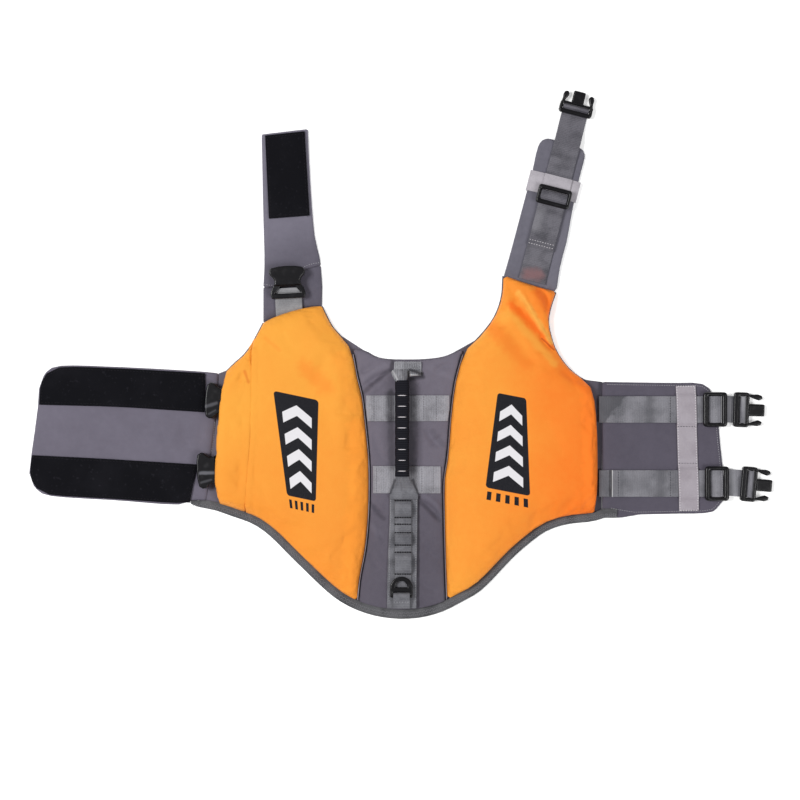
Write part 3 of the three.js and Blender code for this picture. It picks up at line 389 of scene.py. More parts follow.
@dataclass(frozen=True)
class Cloth(Finish):
    """Woven nylon, with a fine plain weave, a broad drift of colour and soft crumples."""

    colour: Colour = (0.5, 0.5, 0.5, 1.0)
    deep: Colour = (0.4, 0.4, 0.4, 1.0)
    drift: tuple[float, float, float, float] | None = None
    weave: float = 0.55 * MM
    relief: float = 0.05 * MM
    crumple: float = 0.5 * MM
    crumple_size: float = 22 * MM
    roughness: float = 0.62
    sheen: float = 0.06
    gloss: float = 0.22
    turn: float = 0.0
    motif: Motif | None = None

    def shading(self, shade: Shade) -> None:
        """Builds the weave, the drift of colour, the print and the sheen."""
        along, across = shade.turned(self.turn)
        threads = along.wave(self.weave) + across.wave(self.weave)
        slubs = shade.noise(1.3 * MM, 3)
        broad = shade.noise(60 * MM, 3)
        fine = shade.noise(5 * MM, 4)
        deeper = broad.ramp(0.3, 0.7) * 0.45 + (fine - 0.5) * 0.5
        # A drift is a broad change of colour along a line. On the orange panels it is painted light: lighter
        # and yellower towards the key light on the left, deeper orange away from it.
        if self.drift:
            deeper = deeper * 0.5 + self.drifted(shade) * 0.75
        colour = shade.mix(deeper.over(0.0).under(1.0), self.colour, self.deep)
        # The streaks laid over the colour here are mostly painted light and shade.
        colour = self.toned(shade, shade.mix(threads * 0.07, colour, self.deep))
        roughness = fine * 0.12 + (self.roughness - 0.06)
        height = threads * self.relief + slubs * self.relief * 1.5
        height = height + shade.noise(self.crumple_size, 4) * self.crumple
        if self.motif:
            colour, ink = self.motif.on(shade, colour)
            roughness = roughness - ink * 0.14
            height = height - ink * 0.03 * MM
        shade.finish(colour, roughness, height * PER_MM, MM)
        shade.constant(Sheen_Weight=self.sheen, Sheen_Roughness=0.5, Specular_IOR_Level=self.gloss)

    def drifted(self, shade: Shade) -> Value:
        """How far each place is along the drift of colour, from 0 to 1."""
        x1, y1, x2, y2 = (value * MM for value in self.drift)
        run = Vector((x2 - x1, y2 - y1))
        along = (shade.x - x1) * (run.x / run.length) + (shade.y - y1) * (run.y / run.length)
        return along.ramp(0.0, run.length)


@dataclass(frozen=True)
class Webbing(Finish):
    """Nylon webbing with cross ribs whose grooves are painted darker as painted shade, warp threads along it,
    and worn bands.
    """

    colour: Colour = srgb("8A8A8F")
    deep: Colour = srgb("6A6A70")
    rib: float = 1.6 * MM
    relief: float = 0.12 * MM
    groove_shade: float = 0.25
    bands: float = 16 * MM
    speckle: float = 0.35
    turn: float = 0.0

    def shading(self, shade: Shade) -> None:
        """Builds the ribs with painted shade in their grooves, the bands and patches of wear, and the streaks
        of another tone, mostly painted shadows and highlights.
        """
        along, across = shade.turned(self.turn)
        ribs = along.wave(self.rib)
        warp = across.wave(0.9 * MM)
        inputs = {"W": along, "Scale": 1 / self.bands, "Detail": 1.0}
        worn = shade.node("ShaderNodeTexNoise", {"noise_dimensions": "1D"}, inputs)
        fuzz = shade.noise(0.8 * MM, 3)
        speckle = shade.noise(1.0 * MM, 2).ramp(0.3, 0.7)
        patches = shade.noise(14 * MM, 2).ramp(0.4, 0.62)
        # The last term darkens the grooves between the ribs: painted shade.
        deeper = worn.ramp(0.4, 0.66) * 0.35 + patches * 0.35 + (1.0 - ribs) * self.groove_shade
        deeper = deeper + (speckle - 0.5) * self.speckle
        colour = self.toned(shade, shade.mix(deeper.over(0.0).under(1.0), self.colour, self.deep))
        height = ribs * self.relief + warp * self.relief * 0.4 + fuzz * self.relief * 0.5
        shade.finish(colour, fuzz * 0.15 + 0.5, height * PER_MM, MM)
        shade.constant(Sheen_Weight=0.06, Sheen_Roughness=0.4, Specular_IOR_Level=0.25)


@dataclass(frozen=True)
class Piping(Finish):
    """A piped seam: the light edge of its tape towards the foam, and dark cord on its other side."""

    light: Colour = srgb("A39BA4")
    dark: Colour = srgb("26252C")
    side: str = "toward_foam"

    def shading(self, shade: Shade) -> None:
        """Builds the two sides from the mesh's own attribute, and the cord's twist."""
        toward = shade.node("ShaderNodeAttribute", {"attribute_name": self.side}, output="Fac")
        fuzz = shade.noise(0.7 * MM, 3)
        twist = (shade.y + shade.x * 0.8).wave(1.4 * MM)
        lit = (toward.ramp(0.5, 0.7) + (fuzz - 0.5) * 0.3).over(0.0).under(1.0)
        colour = shade.mix(lit, self.dark, self.light)
        shade.finish(colour, 0.6, twist * 0.1 + fuzz * 0.05, MM)
        shade.constant(Specular_IOR_Level=0.12)


@dataclass(frozen=True)
class Nap(Finish):
    """Hook-and-loop tape: a dense black nap with a little lint."""

    colour: Colour = srgb("141418")
    lint: Colour = srgb("2C2B31")

    def shading(self, shade: Shade) -> None:
        """Builds the loops of the nap and the specks on it."""
        loops = shade.node("ShaderNodeTexVoronoi", {}, {"Vector": shade.place, "Scale": 1 / (0.9 * MM)})
        fuzz = shade.noise(0.6 * MM, 4)
        specks = shade.noise(3 * MM, 5).ramp(0.6, 0.72)
        worn = shade.noise(30 * MM, 3).ramp(0.4, 0.8)
        colour = shade.mix((specks * 0.45 + worn * 0.2).under(1.0), self.colour, self.lint)
        shade.finish(colour, 0.95, (loops * 0.3 + fuzz * 0.4) * 0.35, MM)
        shade.constant(Specular_IOR_Level=0.05)


@dataclass(frozen=True)
class Plastic(Finish):
    """FlatCloth acetal with a fine satin grain."""

    colour: Colour = srgb("08070C")
    worn: Colour = srgb("17161C")
    roughness: float = 0.28

    def shading(self, shade: Shade) -> None:
        """Builds the grain, the rubbed places and any painted highlight streaks."""
        grain = shade.noise(0.5 * MM, 3)
        rubbed = shade.noise(6 * MM, 4).ramp(0.5, 0.8)
        colour = self.toned(shade, shade.mix(rubbed * 0.35, self.colour, self.worn))
        shade.finish(colour, rubbed * 0.14 + self.roughness, grain * 0.04, MM)
        shade.constant(Specular_IOR_Level=0.32)


@dataclass(frozen=True)
class Sleeve(Finish):
    """The grip's woven sleeve, with fine ribs across it, whose grooves are painted darker: painted shade."""

    colour: Colour = srgb("2C2C33")
    deep: Colour = srgb("101015")
    relief: float = 0.1 * MM

    def shading(self, shade: Shade) -> None:
        """Builds the ribs and the weave."""
        ribs = shade.y.wave(1.7 * MM)
        threads = shade.x.wave(0.8 * MM)
        fuzz = shade.noise(1 * MM, 3)
        # Lighter on the rib crests and darker in the grooves between them: painted shade.
        colour = shade.mix((ribs * 0.5 + fuzz * 0.3).under(1.0), self.deep, self.colour)
        shade.finish(colour, 0.7, (ribs + threads * 0.4 + fuzz * 0.4) * (self.relief * PER_MM), MM)
        shade.constant(Specular_IOR_Level=0.04)


@dataclass(frozen=True)
class Thread(Finish):
    """Sewing thread."""

    colour: Colour = srgb("8C8A92")

    def shading(self, shade: Shade) -> None:
        """Builds the twist of the thread."""
        twist = (shade.x + shade.y + shade.z).wave(0.5 * MM)
        colour = shade.mix(twist * 0.3, self.colour, tuple(c * 0.6 for c in self.colour[:3]) + (1.0,))
        shade.finish(colour, 0.6, twist * 0.05, MM)
        shade.constant(Specular_IOR_Level=0.15)


@dataclass(frozen=True)
class Paper(Finish):
    """The plain pale surface that the jacket lies on."""

    def shading(self, shade: Shade) -> None:
        """Builds an even matt white."""
        tone = shade.noise(0.4, 2)
        colour = shade.mix(tone, (0.93, 0.93, 0.93, 1.0), (0.95, 0.95, 0.95, 1.0))
        shade.finish(colour, 0.9, None, 0.0)
        shade.constant(Specular_IOR_Level=0.1, Emission_Color=(1.0, 1.0, 1.0, 1.0), Emission_Strength=0.25)


LEFT_PRINT = Motif(
    x=-96.5 * MM, y=31 * MM, width=35 * MM, height=92 * MM, turn=-12.0, lean=-0.27, taper=0.22,
)
RIGHT_PRINT = Motif(
    x=98.8 * MM, y=34 * MM, width=34.5 * MM, height=88 * MM, turn=-11.0, lean=-0.15, taper=-0.22,
)

# Painted light and shade: the drift runs from yellow-orange on the side towards the key light to deeper
# orange away from it, and the streaks darken the folds' troughs, lighten their ridges and lighten the slopes
# that face away from the light.
ORANGE_LEFT = Cloth(
    "orange_nylon_left", "orange_cloth_left", colour=srgb("FFB042"), deep=srgb("FC9634"),
    drift=(-130, 120, -40, -60), crumple=0.2 * MM, roughness=0.58, sheen=0.03, gloss=0.12, motif=LEFT_PRINT,
    tones=streaks(
        (-90, 104, -72, 86, 13, 0.5, "FF8E2E"), (-58, 112, -48, 70, 12, 0.5, "FFA23C", 1.12),
        (-44, 50, -42, -8, 12, 0.7, "FF9E38", 1.1), (-44, -20, -52, -100, 12, 0.6, "FF9C36", 1.12),
        (-146.5, 101, -143, 91, 2.2, 0.7, "E8822C"), (-128, 132, -114, 120, 3, 0.35, "FF9634"),
    ),
)
# Painted light and shade: the drift deepens the orange away from the key light, and the streaks darken the
# folds' troughs at the neck and elsewhere, lighten their ridges, and deepen the orange along the right edge,
# away from the light.
ORANGE_RIGHT = Cloth(
    "orange_nylon_right", "orange_cloth_right", colour=srgb("FFA83E"), deep=srgb("FF7C22"),
    drift=(66, 24, 172, 20), crumple=0.2 * MM, roughness=0.58, sheen=0.03, gloss=0.12, motif=RIGHT_PRINT,
    tones=streaks(
        (171, 96, 173, -20, 9, 0.8, "FF8228", 1.05), (56, 119, 104, 160, 9, 0.6, "FFB046"),
        (84, 142, 113, 108, 12, 0.75, "FF8A2C"), (104, 149, 140, 108, 6, 0.7, "FFAC44"),
        (126, 174, 139, 155, 9, 0.85, "FF741E"), (101, 163, 138, 126, 7, 0.9, "FF741C"),
        (107, 174, 138, 128, 4.4, 0.8, "FFB852"), (129, 131.5, 140, 121, 1.3, 0.9, "C25A1C"),
        (150, 100, 172, 84, 7, 0.6, "FF7A22"), (118, -52, 140, -40, 12, 0.4, "FF9232"),
    ),
)
# Painted shadows: darker streaks on both sides of the raised grip and its lower strap, where their shadows
# fall on the panel, bands and strip, and a shaded pleat in the lower strap.
GRIP_SHADOWS = streaks(
    (-11.5, 80, -11.5, 58, 7, 0.75, "37353C"), (-11, 56, -10, 12, 5, 0.5, "3D3B43"),
    (6, 92, 8, 10, 7.5, 0.7, "34323A"), (-7.6, 0, -11.6, -12, 1.9, 0.75, "303036"),
    (9.2, 0, 13.4, -12, 1.9, 0.65, "36363C"), (-2, -2, -1, -10, 1.6, 0.35, "56565C"),
)
GREY_CENTRE = Cloth(
    "grey_nylon_centre", "grey_cloth", colour=srgb("746E7B"), deep=srgb("544F5B"), drift=(0, 50, 4, -80),
    crumple=1.5 * MM,
    # Painted light and shade as well: shadows beside the handle's webbing, along the spine strip's right edge
    # and under the curled strap, darker streaks in the folds and lighter ones on their ridges.
    tones=GRIP_SHADOWS + streaks(
        (-10, 110, -11, 102, 3, 0.7, "34313A"), (14.7, -16, 14.3, -118, 1.8, 0.8, "2B2930"),
        (6, 94, 18, 96, 3.5, 0.8, "26242C"), (-13, 102, -37, 81, 3.4, 0.6, "45404B"),
        (-17, 107, -42, 92, 4.5, 0.45, "7C7784"), (16, -20, 34, -38, 3.4, 0.5, "3D3943"),
        (20, -14, 38, -30, 4, 0.3, "716C7A"), (-32, -20, -18, -36, 3.4, 0.45, "3D3943"),
        (28, 46, 38, 32, 4, 0.3, "4B4651"), (24, 104, 44, 96, 5, 0.35, "7C7784"),
        (-34, -40, -22, -50, 5, 0.35, "706B78"),
    ),
)
GREY_LEFT = Cloth("grey_nylon_left", "grey_cloth", colour=srgb("726D7C"), deep=srgb("5F5A67"))
GREY_SHELL = Cloth(
    "grey_nylon_shell", "grey_cloth", colour=srgb("706B79"), deep=srgb("524E5A"), drift=(-150, 0, 150, 0),
    # The first streak is a painted shadow beside the belly panel's edge; the second paints the shell orange
    # at the top of the seam between the two left foam panels.
    tones=streaks(
        (184.5, 92, 184.5, -32, 4.5, 0.7, "2E2B35"),
        (-141, 124, -139, 129, 3.4, 1.0, "F7A23C", LIGHT_LEVEL, 0.3),
    ),
)
GREY_RIGHT = Cloth("grey_nylon_right", "grey_cloth", colour=srgb("5B5664"), deep=srgb("4A4652"))
GREY_STRAP = Cloth(
    "grey_nylon_strap", "grey_cloth", colour=srgb("7D7988"), deep=srgb("595562"), drift=(-104, 250, -86, 186),
)
GREY_PAD = Cloth(
    "grey_nylon_pad", "grey_cloth", colour=srgb("75737F"), deep=srgb("55535F"), turn=NECK_TURN - 90,
)
BINDING = Webbing(
    "grosgrain_binding", "grey_binding", colour=srgb("636366"), deep=srgb("3E3E41"), rib=1.1 * MM,
)
WEB_ALONG_X = Webbing(
    "webbing_along_x", "grey_webbing", colour=srgb("8A8990"), deep=srgb("5A5A60"), groove_shade=0.18, bands=26 * MM,
    # Painted light and shade: shadows at the belts' roots beside the foam panel, darker bands in the
    # webbing's waves, the shadow and highlight of the lower belt's folded end, and lighter runs between the
    # slides.
    tones=streaks(
        (199, 84.6, 177, 54, 12, 0.8, "4A4A50", LIGHT_LEVEL, 0.25),
        (230, 80, 230.5, 52, 7, 0.6, "4C4C52"), (182, 12, 183, -18, 12, 0.6, "4C4C52", LIGHT_LEVEL, 0.3),
        (240, 12, 240, -18, 9, 0.6, "505056"), (192.8, 12, 192.8, -18, 1.5, 0.85, "242428"),
        (194.8, 12, 194.8, -18, 0.9, 0.9, "C8C8CA"), (303, 78, 305, 54, 5, 0.6, "9A9AA0"),
        (306, 8, 309, -18, 6, 0.6, "9A9AA0"), (201, -3, 225, -3, 13, 0.4, "5E5E64"),
        (318, 78, 321, 54, 5, 0.6, "A2A2A6"), (331, 6, 334, -20, 5, 0.6, "A2A2A6"),
    ),
)
WEB_NECK = Webbing(
    "webbing_neck", "grey_webbing", colour=srgb("727078"), deep=srgb("45444B"), turn=NECK_TURN,
    # The first streak is a reddish stain; the second is a painted highlight along the middle of the webbing.
    tones=streaks(
        (116, 192, 126, 191, 9, 0.75, "8A6466"), (123, 235, 127, 250, 8, 0.4, "8E8D93"),
    ),
)
WEB_TAB = Webbing("webbing_tab", "grey_webbing", turn=-87.0, colour=srgb("9C9C9F"), deep=srgb("7A7A7E"))
WEB_ROOT = Webbing(
    "webbing_root", "grey_webbing", colour=srgb("A3A3A9"), deep=srgb("5E5E64"), groove_shade=0.6, relief=0.2 * MM,
    # Painted light and shade on the handle's webbing: shade where its right half curls under, a highlight on
    # the curl's lip, painted shadows in the dark gaps beside it, a highlight on the left half and shade in a
    # crease in the middle.
    tones=streaks(
        (6.5, 102.6, 16.6, 98.8, 2.2, 0.85, "37373D"), (7.4, 97.2, 12.8, 96.6, 2.0, 0.9, "D2D2D6"),
        (5.2, 101, 5.2, 93, 1.5, 0.95, "0C0C10"), (17.6, 99.5, 18.4, 96.4, 1.7, 0.95, "0E0E12"),
        (-9.6, 101.4, -5, 93, 1.4, 0.7, "C6C6CA"), (-1, 102, 3, 92, 2.2, 0.5, "5C5C62"),
    ),
)
WEB_ALONG_Y = Webbing(
    "webbing_along_y", "grey_webbing", colour=srgb("7C7C82"), deep=srgb("525258"), turn=90.0,
    # The grip's painted shadows.
    tones=GRIP_SHADOWS,
)
WEB_BAND = Webbing(
    "webbing_band", "grey_webbing", colour=srgb("A09FA6"), deep=srgb("78777D"), speckle=0.5,
    # The grip's painted shadows, and a lighter patch on the lower band.
    tones=GRIP_SHADOWS + streaks((24, 3, 38, 3, 12, 0.4, "B2B0B8")),
)
KEEPER_TAPE = Webbing(
    "keeper_tape", "light_tape", colour=srgb("ADA6AE"), deep=srgb("9C949C"), rib=0.8 * MM, relief=0.05 * MM,
    speckle=0.4, turn=90.0,
)
ELASTIC = Webbing(
    "elastic", "light_elastic", colour=srgb("BDB8BF"), deep=srgb("A6A1A8"), rib=1.2 * MM, relief=0.08 * MM,
    speckle=0.4, turn=NECK_TURN,
)
PIPED = Piping("piped_seam", "black_cord")
HOOK_TAPE = Nap("black_nap", "hook_and_loop")
ACETAL = Plastic(
    "black_acetal", "black_plastic",
    # Painted highlights: light grey streaks on the female buckles where glints fall.
    tones=streaks(
        (-188, 6.5, -176, 6.8, 2.4, 0.7, "77777E"), (-187, -2.2, -178, 0.5, 1.7, 0.5, "5A5A60"),
        (-183, 68.5, -173, 71.5, 2.4, 0.55, "66666D"), (-180, 61.5, -174, 65, 1.5, 0.5, "55555B"),
        (-107, 216, -98, 222, 2.0, 0.4, "4A4951"), (-112, 210, -104, 208, 1.6, 0.3, "4A4951"),
    ),
)
GRIP_SLEEVE = Sleeve("grip_sleeve", "black_cord")
THREAD_GREY = Thread("thread_grey", "grey_webbing", colour=srgb("B4B3B9"))
THREAD_BAND = Thread("thread_band", "grey_webbing", colour=srgb("7E7D83"))
THREAD_HEM = Thread("thread_hem", "grey_binding", colour=srgb("85848A"))
THREAD_DARK = Thread("thread_dark", "black_cord", colour=srgb("1C1B20"))
THREAD_LIGHT = Thread("thread_light", "light_tape", colour=srgb("EFEAEF"))
THREAD_BLACK = Thread("thread_black", "black_cord", colour=srgb("17161A"))
THREAD_SHADE = Thread("thread_shade", "grey_binding", colour=srgb("3C3A41"))


# Meshes


class Frame:
    """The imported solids, and what can be measured on them."""

    def __init__(self) -> None:
        """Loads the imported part."""
        self.nodes: dict[str, Object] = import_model()["nodes"]
        self.trees: dict[str, BVHTree] = {}

    def tree(self, node: str) -> BVHTree:
        """A search tree of a node's faces."""
        if node not in self.trees:
            self.trees[node] = tree_of([self.nodes[node]])
        return self.trees[node]

    def welded(self, node: str) -> bmesh.types.BMesh:
        """A node's solid as one closed mesh."""
        solid = bmesh.new()
        solid.from_mesh(self.nodes[node].data)
        bmesh.ops.remove_doubles(solid, verts=solid.verts, dist=WELD)
        return solid

    def copy(self, node: str, name: str) -> Object:
        """A new object with a node's solid, its flat faces whole."""
        solid = self.welded(node)
        bmesh.ops.dissolve_limit(solid, angle_limit=math.radians(0.5), verts=solid.verts, edges=solid.edges)
        return object_of(name, solid)

    def outline(self, node: str) -> np.ndarray:
        """The outline of a node's underside, counter-clockwise, as x and y."""
        solid = self.welded(node)
        solid.normal_update()
        under = {face for face in solid.faces if face.normal.dot(DOWN) > 0.5}
        after = {
            corner.vert.index: corner.link_loop_next.vert
            for face in under
            for corner in face.loops
            if any(beside not in under for beside in corner.edge.link_faces)
        }
        longest: list[tuple[float, float]] = []
        while after:
            index = next(iter(after))
            loop = []
            while index in after:
                vert = after.pop(index)
                loop.append(vert.co.xy[:])
                index = vert.index
            longest = max(longest, loop, key=len)
        solid.free()
        points = np.array(longest)
        return points if signed_area(points) > 0 else points[::-1]


def signed_area(outline: np.ndarray) -> float:
    """The area within an outline, which is above 0 where it runs counter-clockwise."""
    x, y = outline.T
    return float(np.sum(x * np.roll(y, -1) - y * np.roll(x, -1))) / 2


def tree_of(objects: Iterable[Object]) -> BVHTree:
    """A search tree of the faces of several objects."""
    points: list[Vector] = []
    faces: list[tuple[int, ...]] = []
    for found in objects:
        first = len(points)
        points += [v.co.copy() for v in found.data.vertices]
        faces += [tuple(first + i for i in p.vertices) for p in found.data.polygons]
    return BVHTree.FromPolygons(points, faces)


def add_object(name: str, mesh: bpy.types.Mesh) -> Object:
    """Links a new object to the scene."""
    made = bpy.data.objects.new(name, mesh)
    bpy.context.scene.collection.objects.link(made)
    return made


def object_of(name: str, shape: bmesh.types.BMesh) -> Object:
    """Turns an edited mesh into a new object."""
    mesh = bpy.data.meshes.new(name)
    shape.to_mesh(mesh)
    shape.free()
    return add_object(name, mesh)


def baked(source: Object) -> Object:
    """Turns an object's modifiers into plain mesh."""
    graph = bpy.context.evaluated_depsgraph_get()
    mesh = bpy.data.meshes.new_from_object(source.evaluated_get(graph))
    source.modifiers.clear()
    old = source.data
    source.data = mesh
    if isinstance(old, bpy.types.Mesh):
        bpy.data.meshes.remove(old)
    return source


def modify(target: Object, kind: str, **settings: object) -> bpy.types.Modifier:
    """Adds a modifier and sets it."""
    modifier = target.modifiers.new(kind.lower(), kind)
    assign(modifier, settings)
    return modifier


def evenly_meshed(made: Object, voxel: float, rounds: int = 2) -> Object:
    """Meshes a solid evenly and rounds its edges a little."""
    modify(made, "REMESH", mode="VOXEL", voxel_size=voxel, adaptivity=0.0)
    modify(made, "SMOOTH", factor=0.5, iterations=rounds)
    return baked(made)


def smooth(target: Object, degrees: float = 180.0) -> Object:
    """Shades an object smooth, but for edges that are sharper than an angle."""
    target.data.shade_smooth()
    if degrees < 180:
        target.data.set_sharp_from_angle(angle=math.radians(degrees))
    return target


def points_of(target: Object, measure: str = "co") -> np.ndarray:
    """An object's vertices, or another measure of each that has three parts."""
    flat = np.empty(len(target.data.vertices) * 3)
    target.data.vertices.foreach_get(measure, flat)
    return flat.reshape(-1, 3)


def normals_of(target: Object) -> np.ndarray:
    """The directions in which an object's vertices face."""
    return points_of(target, "normal")


def move_points(target: Object, points: np.ndarray) -> None:
    """Sets an object's vertices."""
    target.data.vertices.foreach_set("co", points.ravel())
    target.data.update()


def ramp(values: np.ndarray, low: float, high: float) -> np.ndarray:
    """Goes smoothly from 0 at low to 1 at high, which may be the smaller of the two."""
    t = np.clip((values - low) / (high - low), 0, 1)
    return t * t * (3 - 2 * t)


def even_out(table: np.ndarray, rounds: int) -> None:
    """Evens out all columns of a table but the first, and keeps its first and last row."""
    for _ in range(rounds):
        table[1:-1, 1:] = 0.25 * table[:-2, 1:] + 0.5 * table[1:-1, 1:] + 0.25 * table[2:, 1:]


def to_loop(points: np.ndarray, loop: np.ndarray) -> tuple[np.ndarray, np.ndarray]:
    """The distance of each place from a closed outline in the plane, and the outline's nearest place."""
    least = np.full(len(points), np.inf)
    nearest = np.zeros((len(points), 2))
    for a, b in zip(loop, np.roll(loop, -1, axis=0)):
        run = b - a
        t = np.clip(((points[:, :2] - a) @ run) / max(run @ run, 1e-12), 0, 1)
        place = a + t[:, None] * run
        distance = np.linalg.norm(points[:, :2] - place, axis=1)
        closer = distance < least
        least[closer], nearest[closer] = distance[closer], place[closer]
    return least, nearest


def trim(made: Object, rim: np.ndarray, reach: float, grow: float, foot: float = 1.0) -> None:
    """Brings the sides of a remeshed piece back onto its outline, so that it meets its neighbours.

    Args:
        made: the piece.
        rim: its outline.
        reach: how far from the outline its sides may be.
        grow: how far past the outline they go, which closes the seam.
        foot: how high above the piece's underside its sides are brought back.
    """
    points, normals = points_of(made), normals_of(made)
    far, nearest = to_loop(points, rim)
    facing = np.linalg.norm(normals[:, :2], axis=1)
    share = ramp(facing, 0.35, 0.75) * ramp(far, 1.6 * reach, reach)
    share *= ramp(points[:, 2] - points[:, 2].min(), 1.5 * foot, foot)
    out = normals[:, :2] / np.maximum(facing, 1e-6)[:, None]
    points[:, :2] += (nearest + out * grow - points[:, :2]) * share[:, None]
    move_points(made, points)


@dataclass(frozen=True)
class Crease:
    """A soft trough or ridge between two places, in millimetres. A depth below 0 is a trough."""

    x1: float
    y1: float
    x2: float
    y2: float
    width: float
    depth: float

    def heights(self, points: np.ndarray) -> np.ndarray:
        """How far the crease moves each place up, with uneven sides and fading ends."""
        a, b = np.array([self.x1, self.y1]) * MM, np.array([self.x2, self.y2]) * MM
        run = b - a
        length = np.linalg.norm(run)
        t = ((points[:, :2] - a) @ run) / length**2
        side = ((points[:, 0] - a[0]) * run[1] - (points[:, 1] - a[1]) * run[0]) / length
        bend = 0.12 * length * np.sin(math.pi * np.clip(t, 0, 1)) * math.sin(self.x1 + self.y2)
        width = self.width * MM * (1 + 0.35 * np.sign(side - bend))
        fade = np.clip(1 - np.abs(2 * t - 1) ** 3, 0, 1)
        return self.depth * MM * fade * np.exp(-(((side - bend) / width) ** 2))


def creases(*rows: Sequence[float]) -> tuple[Crease, ...]:
    """A table of creases with the columns x1, y1, x2, y2, width and depth, in millimetres."""
    return tuple(Crease(*row) for row in rows)


@dataclass
class Piece:
    """One piece of the jacket, which stands for one solid."""

    node: str
    finish: Finish
    body: str = JACKET

    @property
    def name(self) -> str:
        """The piece's name in the scene."""
        return f"{self.node}_dressed"

    def shape(self, frame: Frame) -> Object:
        """Makes the piece's mesh."""
        raise NotImplementedError

    def declare(self, made: Object, frame: Frame) -> None:
        """States the piece's cut, where it has one. A moulded piece or a cord in a seam has none."""

    def build(self, frame: Frame) -> Object:
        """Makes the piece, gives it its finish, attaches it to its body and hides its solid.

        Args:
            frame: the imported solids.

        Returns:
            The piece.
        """
        made = self.shape(frame)
        made.data.materials.clear()
        made.data.materials.append(self.finish.material())
        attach(made, self.body)
        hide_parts(self.node)
        self.declare(made, frame)
        LOG.info("%s: %d faces", made.name, len(made.data.polygons))
        return made


@dataclass
class FlatCloth(Piece):
    """A tape, or another flat piece of cloth, with its edges rounded."""

    bevel: float = 0.35 * MM
    segments: int = 2
    grow: float = 0.0
    rests_on: tuple[str, ...] = ()
    folded: bool = False

    def shape(self, frame: Frame) -> Object:
        """Rounds the solid's edges and closes its seams."""
        made = frame.copy(self.node, self.name)
        modify(
            made, "BEVEL", width=self.bevel, segments=self.segments, limit_method="ANGLE",
            angle_limit=math.radians(28), use_clamp_overlap=True,
        )
        baked(made)
        if self.grow:
            move_points(made, points_of(made) + normals_of(made) * self.grow * np.array([1, 1, 0]))
        self.adjust(made)
        return smooth(made, 40)

    def adjust(self, made: Object) -> None:
        """Changes the rounded piece, which a kind of tape may need."""

    def declare(self, made: Object, frame: Frame) -> None:
        """States the tape's cut."""
        state_cut(made, frame, self.node, self.folded)


@dataclass
class HemBinding(FlatCloth):
    """The binding along the hem, whose ends are cut off square."""

    left: float = -197.5
    left_rise: float = 1.4
    right: Row = (178, 186, 199.5, -35.6, -26.8)

    def adjust(self, made: Object) -> None:
        """Squares off both ends.

        The left end is its cut and how far it rises to the flap. The right end is where it starts to widen,
        where it is full, its cut, and its low and high side. All are in millimetres.
        """
        points = points_of(made)
        widens, full, cut, low, high = (value * MM for value in self.right)
        tree = tree_of([made])
        for i in np.flatnonzero(points[:, 0] > widens):
            x, y, _ = points[i]
            rays = [(Vector((x, -way * BESIDE, 1.5 * MM)), Vector((0, way, 0))) for way in (1, -1)]
            sides = [tree.ray_cast(*ray)[0] for ray in rays]
            if all(sides):
                share = min(1.0, max(0.0, (y - sides[0].y) / max(sides[1].y - sides[0].y, 1e-5)))
                wide = low + (high - low) * share
                points[i, 1] += (wide - y) * float(ramp(points[i : i + 1, 0], widens, full)[0])
        points[:, 0] = np.clip(points[:, 0], self.left * MM, cut)
        rise = ramp(points[:, 0], (self.left + 35) * MM, (self.left + 10) * MM)
        points[:, 1] += self.left_rise * MM * rise
        move_points(made, points)

    def declare(self, made: Object, frame: Frame) -> None:
        """States the binding's cut: its length along the hem, and its width."""
        outline = frame.outline(self.node)
        length = float(np.linalg.norm(outline - np.roll(outline, -1, axis=0), axis=1).sum()) / 2
        surface = one_side(made)
        state_sheet(made, surface / length, length, surface)


def one_side(made: Object) -> float:
    """The area of one side of a thin piece."""
    return sum(face.area for face in made.data.polygons) / 2


def state_sheet(made: Object, width: float, length: float, area: float) -> None:
    """Works out the cut of a sheet of cloth that lies flat, and logs it.

    Args:
        made: the piece.
        width: the cut's width.
        length: its length.
        area: its area, where that is less than the rectangle's; it is not used.
    """
    width, length = max(width, LEAST_CUT), max(length, LEAST_CUT)
    LOG.info("%s: flat %.0f by %.0f mm", made.name, width / MM, length / MM)
    min(area, width * length)


def state_cut(made: Object, frame: Frame, node: str, folded: bool = False) -> None:
    """Works out a sheet's cut, from its solid's outline or, where it is folded over, its surface, and logs
    it.
    """
    outline = points_of(made)[:, :2] if folded else frame.outline(node)
    centred = outline - outline.mean(axis=0)
    _, axes = np.linalg.eigh(centred.T @ centred)
    spans = np.ptp(centred @ axes, axis=0)
    width, length = max(float(spans.min()), LEAST_CUT), float(spans.max())
    area = one_side(made) if folded else abs(signed_area(outline))
    state_sheet(made, width, area / width if folded else length, area)


@dataclass
class Softened(Piece):
    """A moulded piece whose edges are all well rounded, and which may be a little fuller than its solid."""

    voxel: float = 0.45 * MM
    rounds: int = 3
    swell: float = 0.25 * MM

    def shape(self, frame: Frame) -> Object:
        """Meshes the solid evenly, smooths it and makes up for what that takes off."""
        made = evenly_meshed(frame.copy(self.node, self.name), self.voxel, self.rounds)
        points = points_of(made) + normals_of(made) * self.swell
        points[:, 2] = np.maximum(points[:, 2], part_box(self.node)[0].z)
        move_points(made, points)
        return smooth(made)


@dataclass
class Rounded(Piece):
    """A cord, whose solid's few faces are rounded by subdivision, with its foam side marked."""

    levels: int = 2
    foam_side: float = 1.0

    def shape(self, frame: Frame) -> Object:
        """Subdivides the solid and marks how far each point faces the foam."""
        solid = frame.welded(self.node)
        face_angle, shape_angle = math.radians(25), math.radians(60)
        bmesh.ops.join_triangles(
            solid, faces=solid.faces, angle_face_threshold=face_angle, angle_shape_threshold=shape_angle,
        )
        made = object_of(self.name, solid)
        modify(made, "SUBSURF", levels=self.levels, render_levels=self.levels)
        smooth(baked(made))
        toward = made.data.attributes.new(PIPED.side, "FLOAT", "POINT")
        toward.data.foreach_set("value", 0.5 + 0.5 * self.foam_side * normals_of(made)[:, 0])
        return made


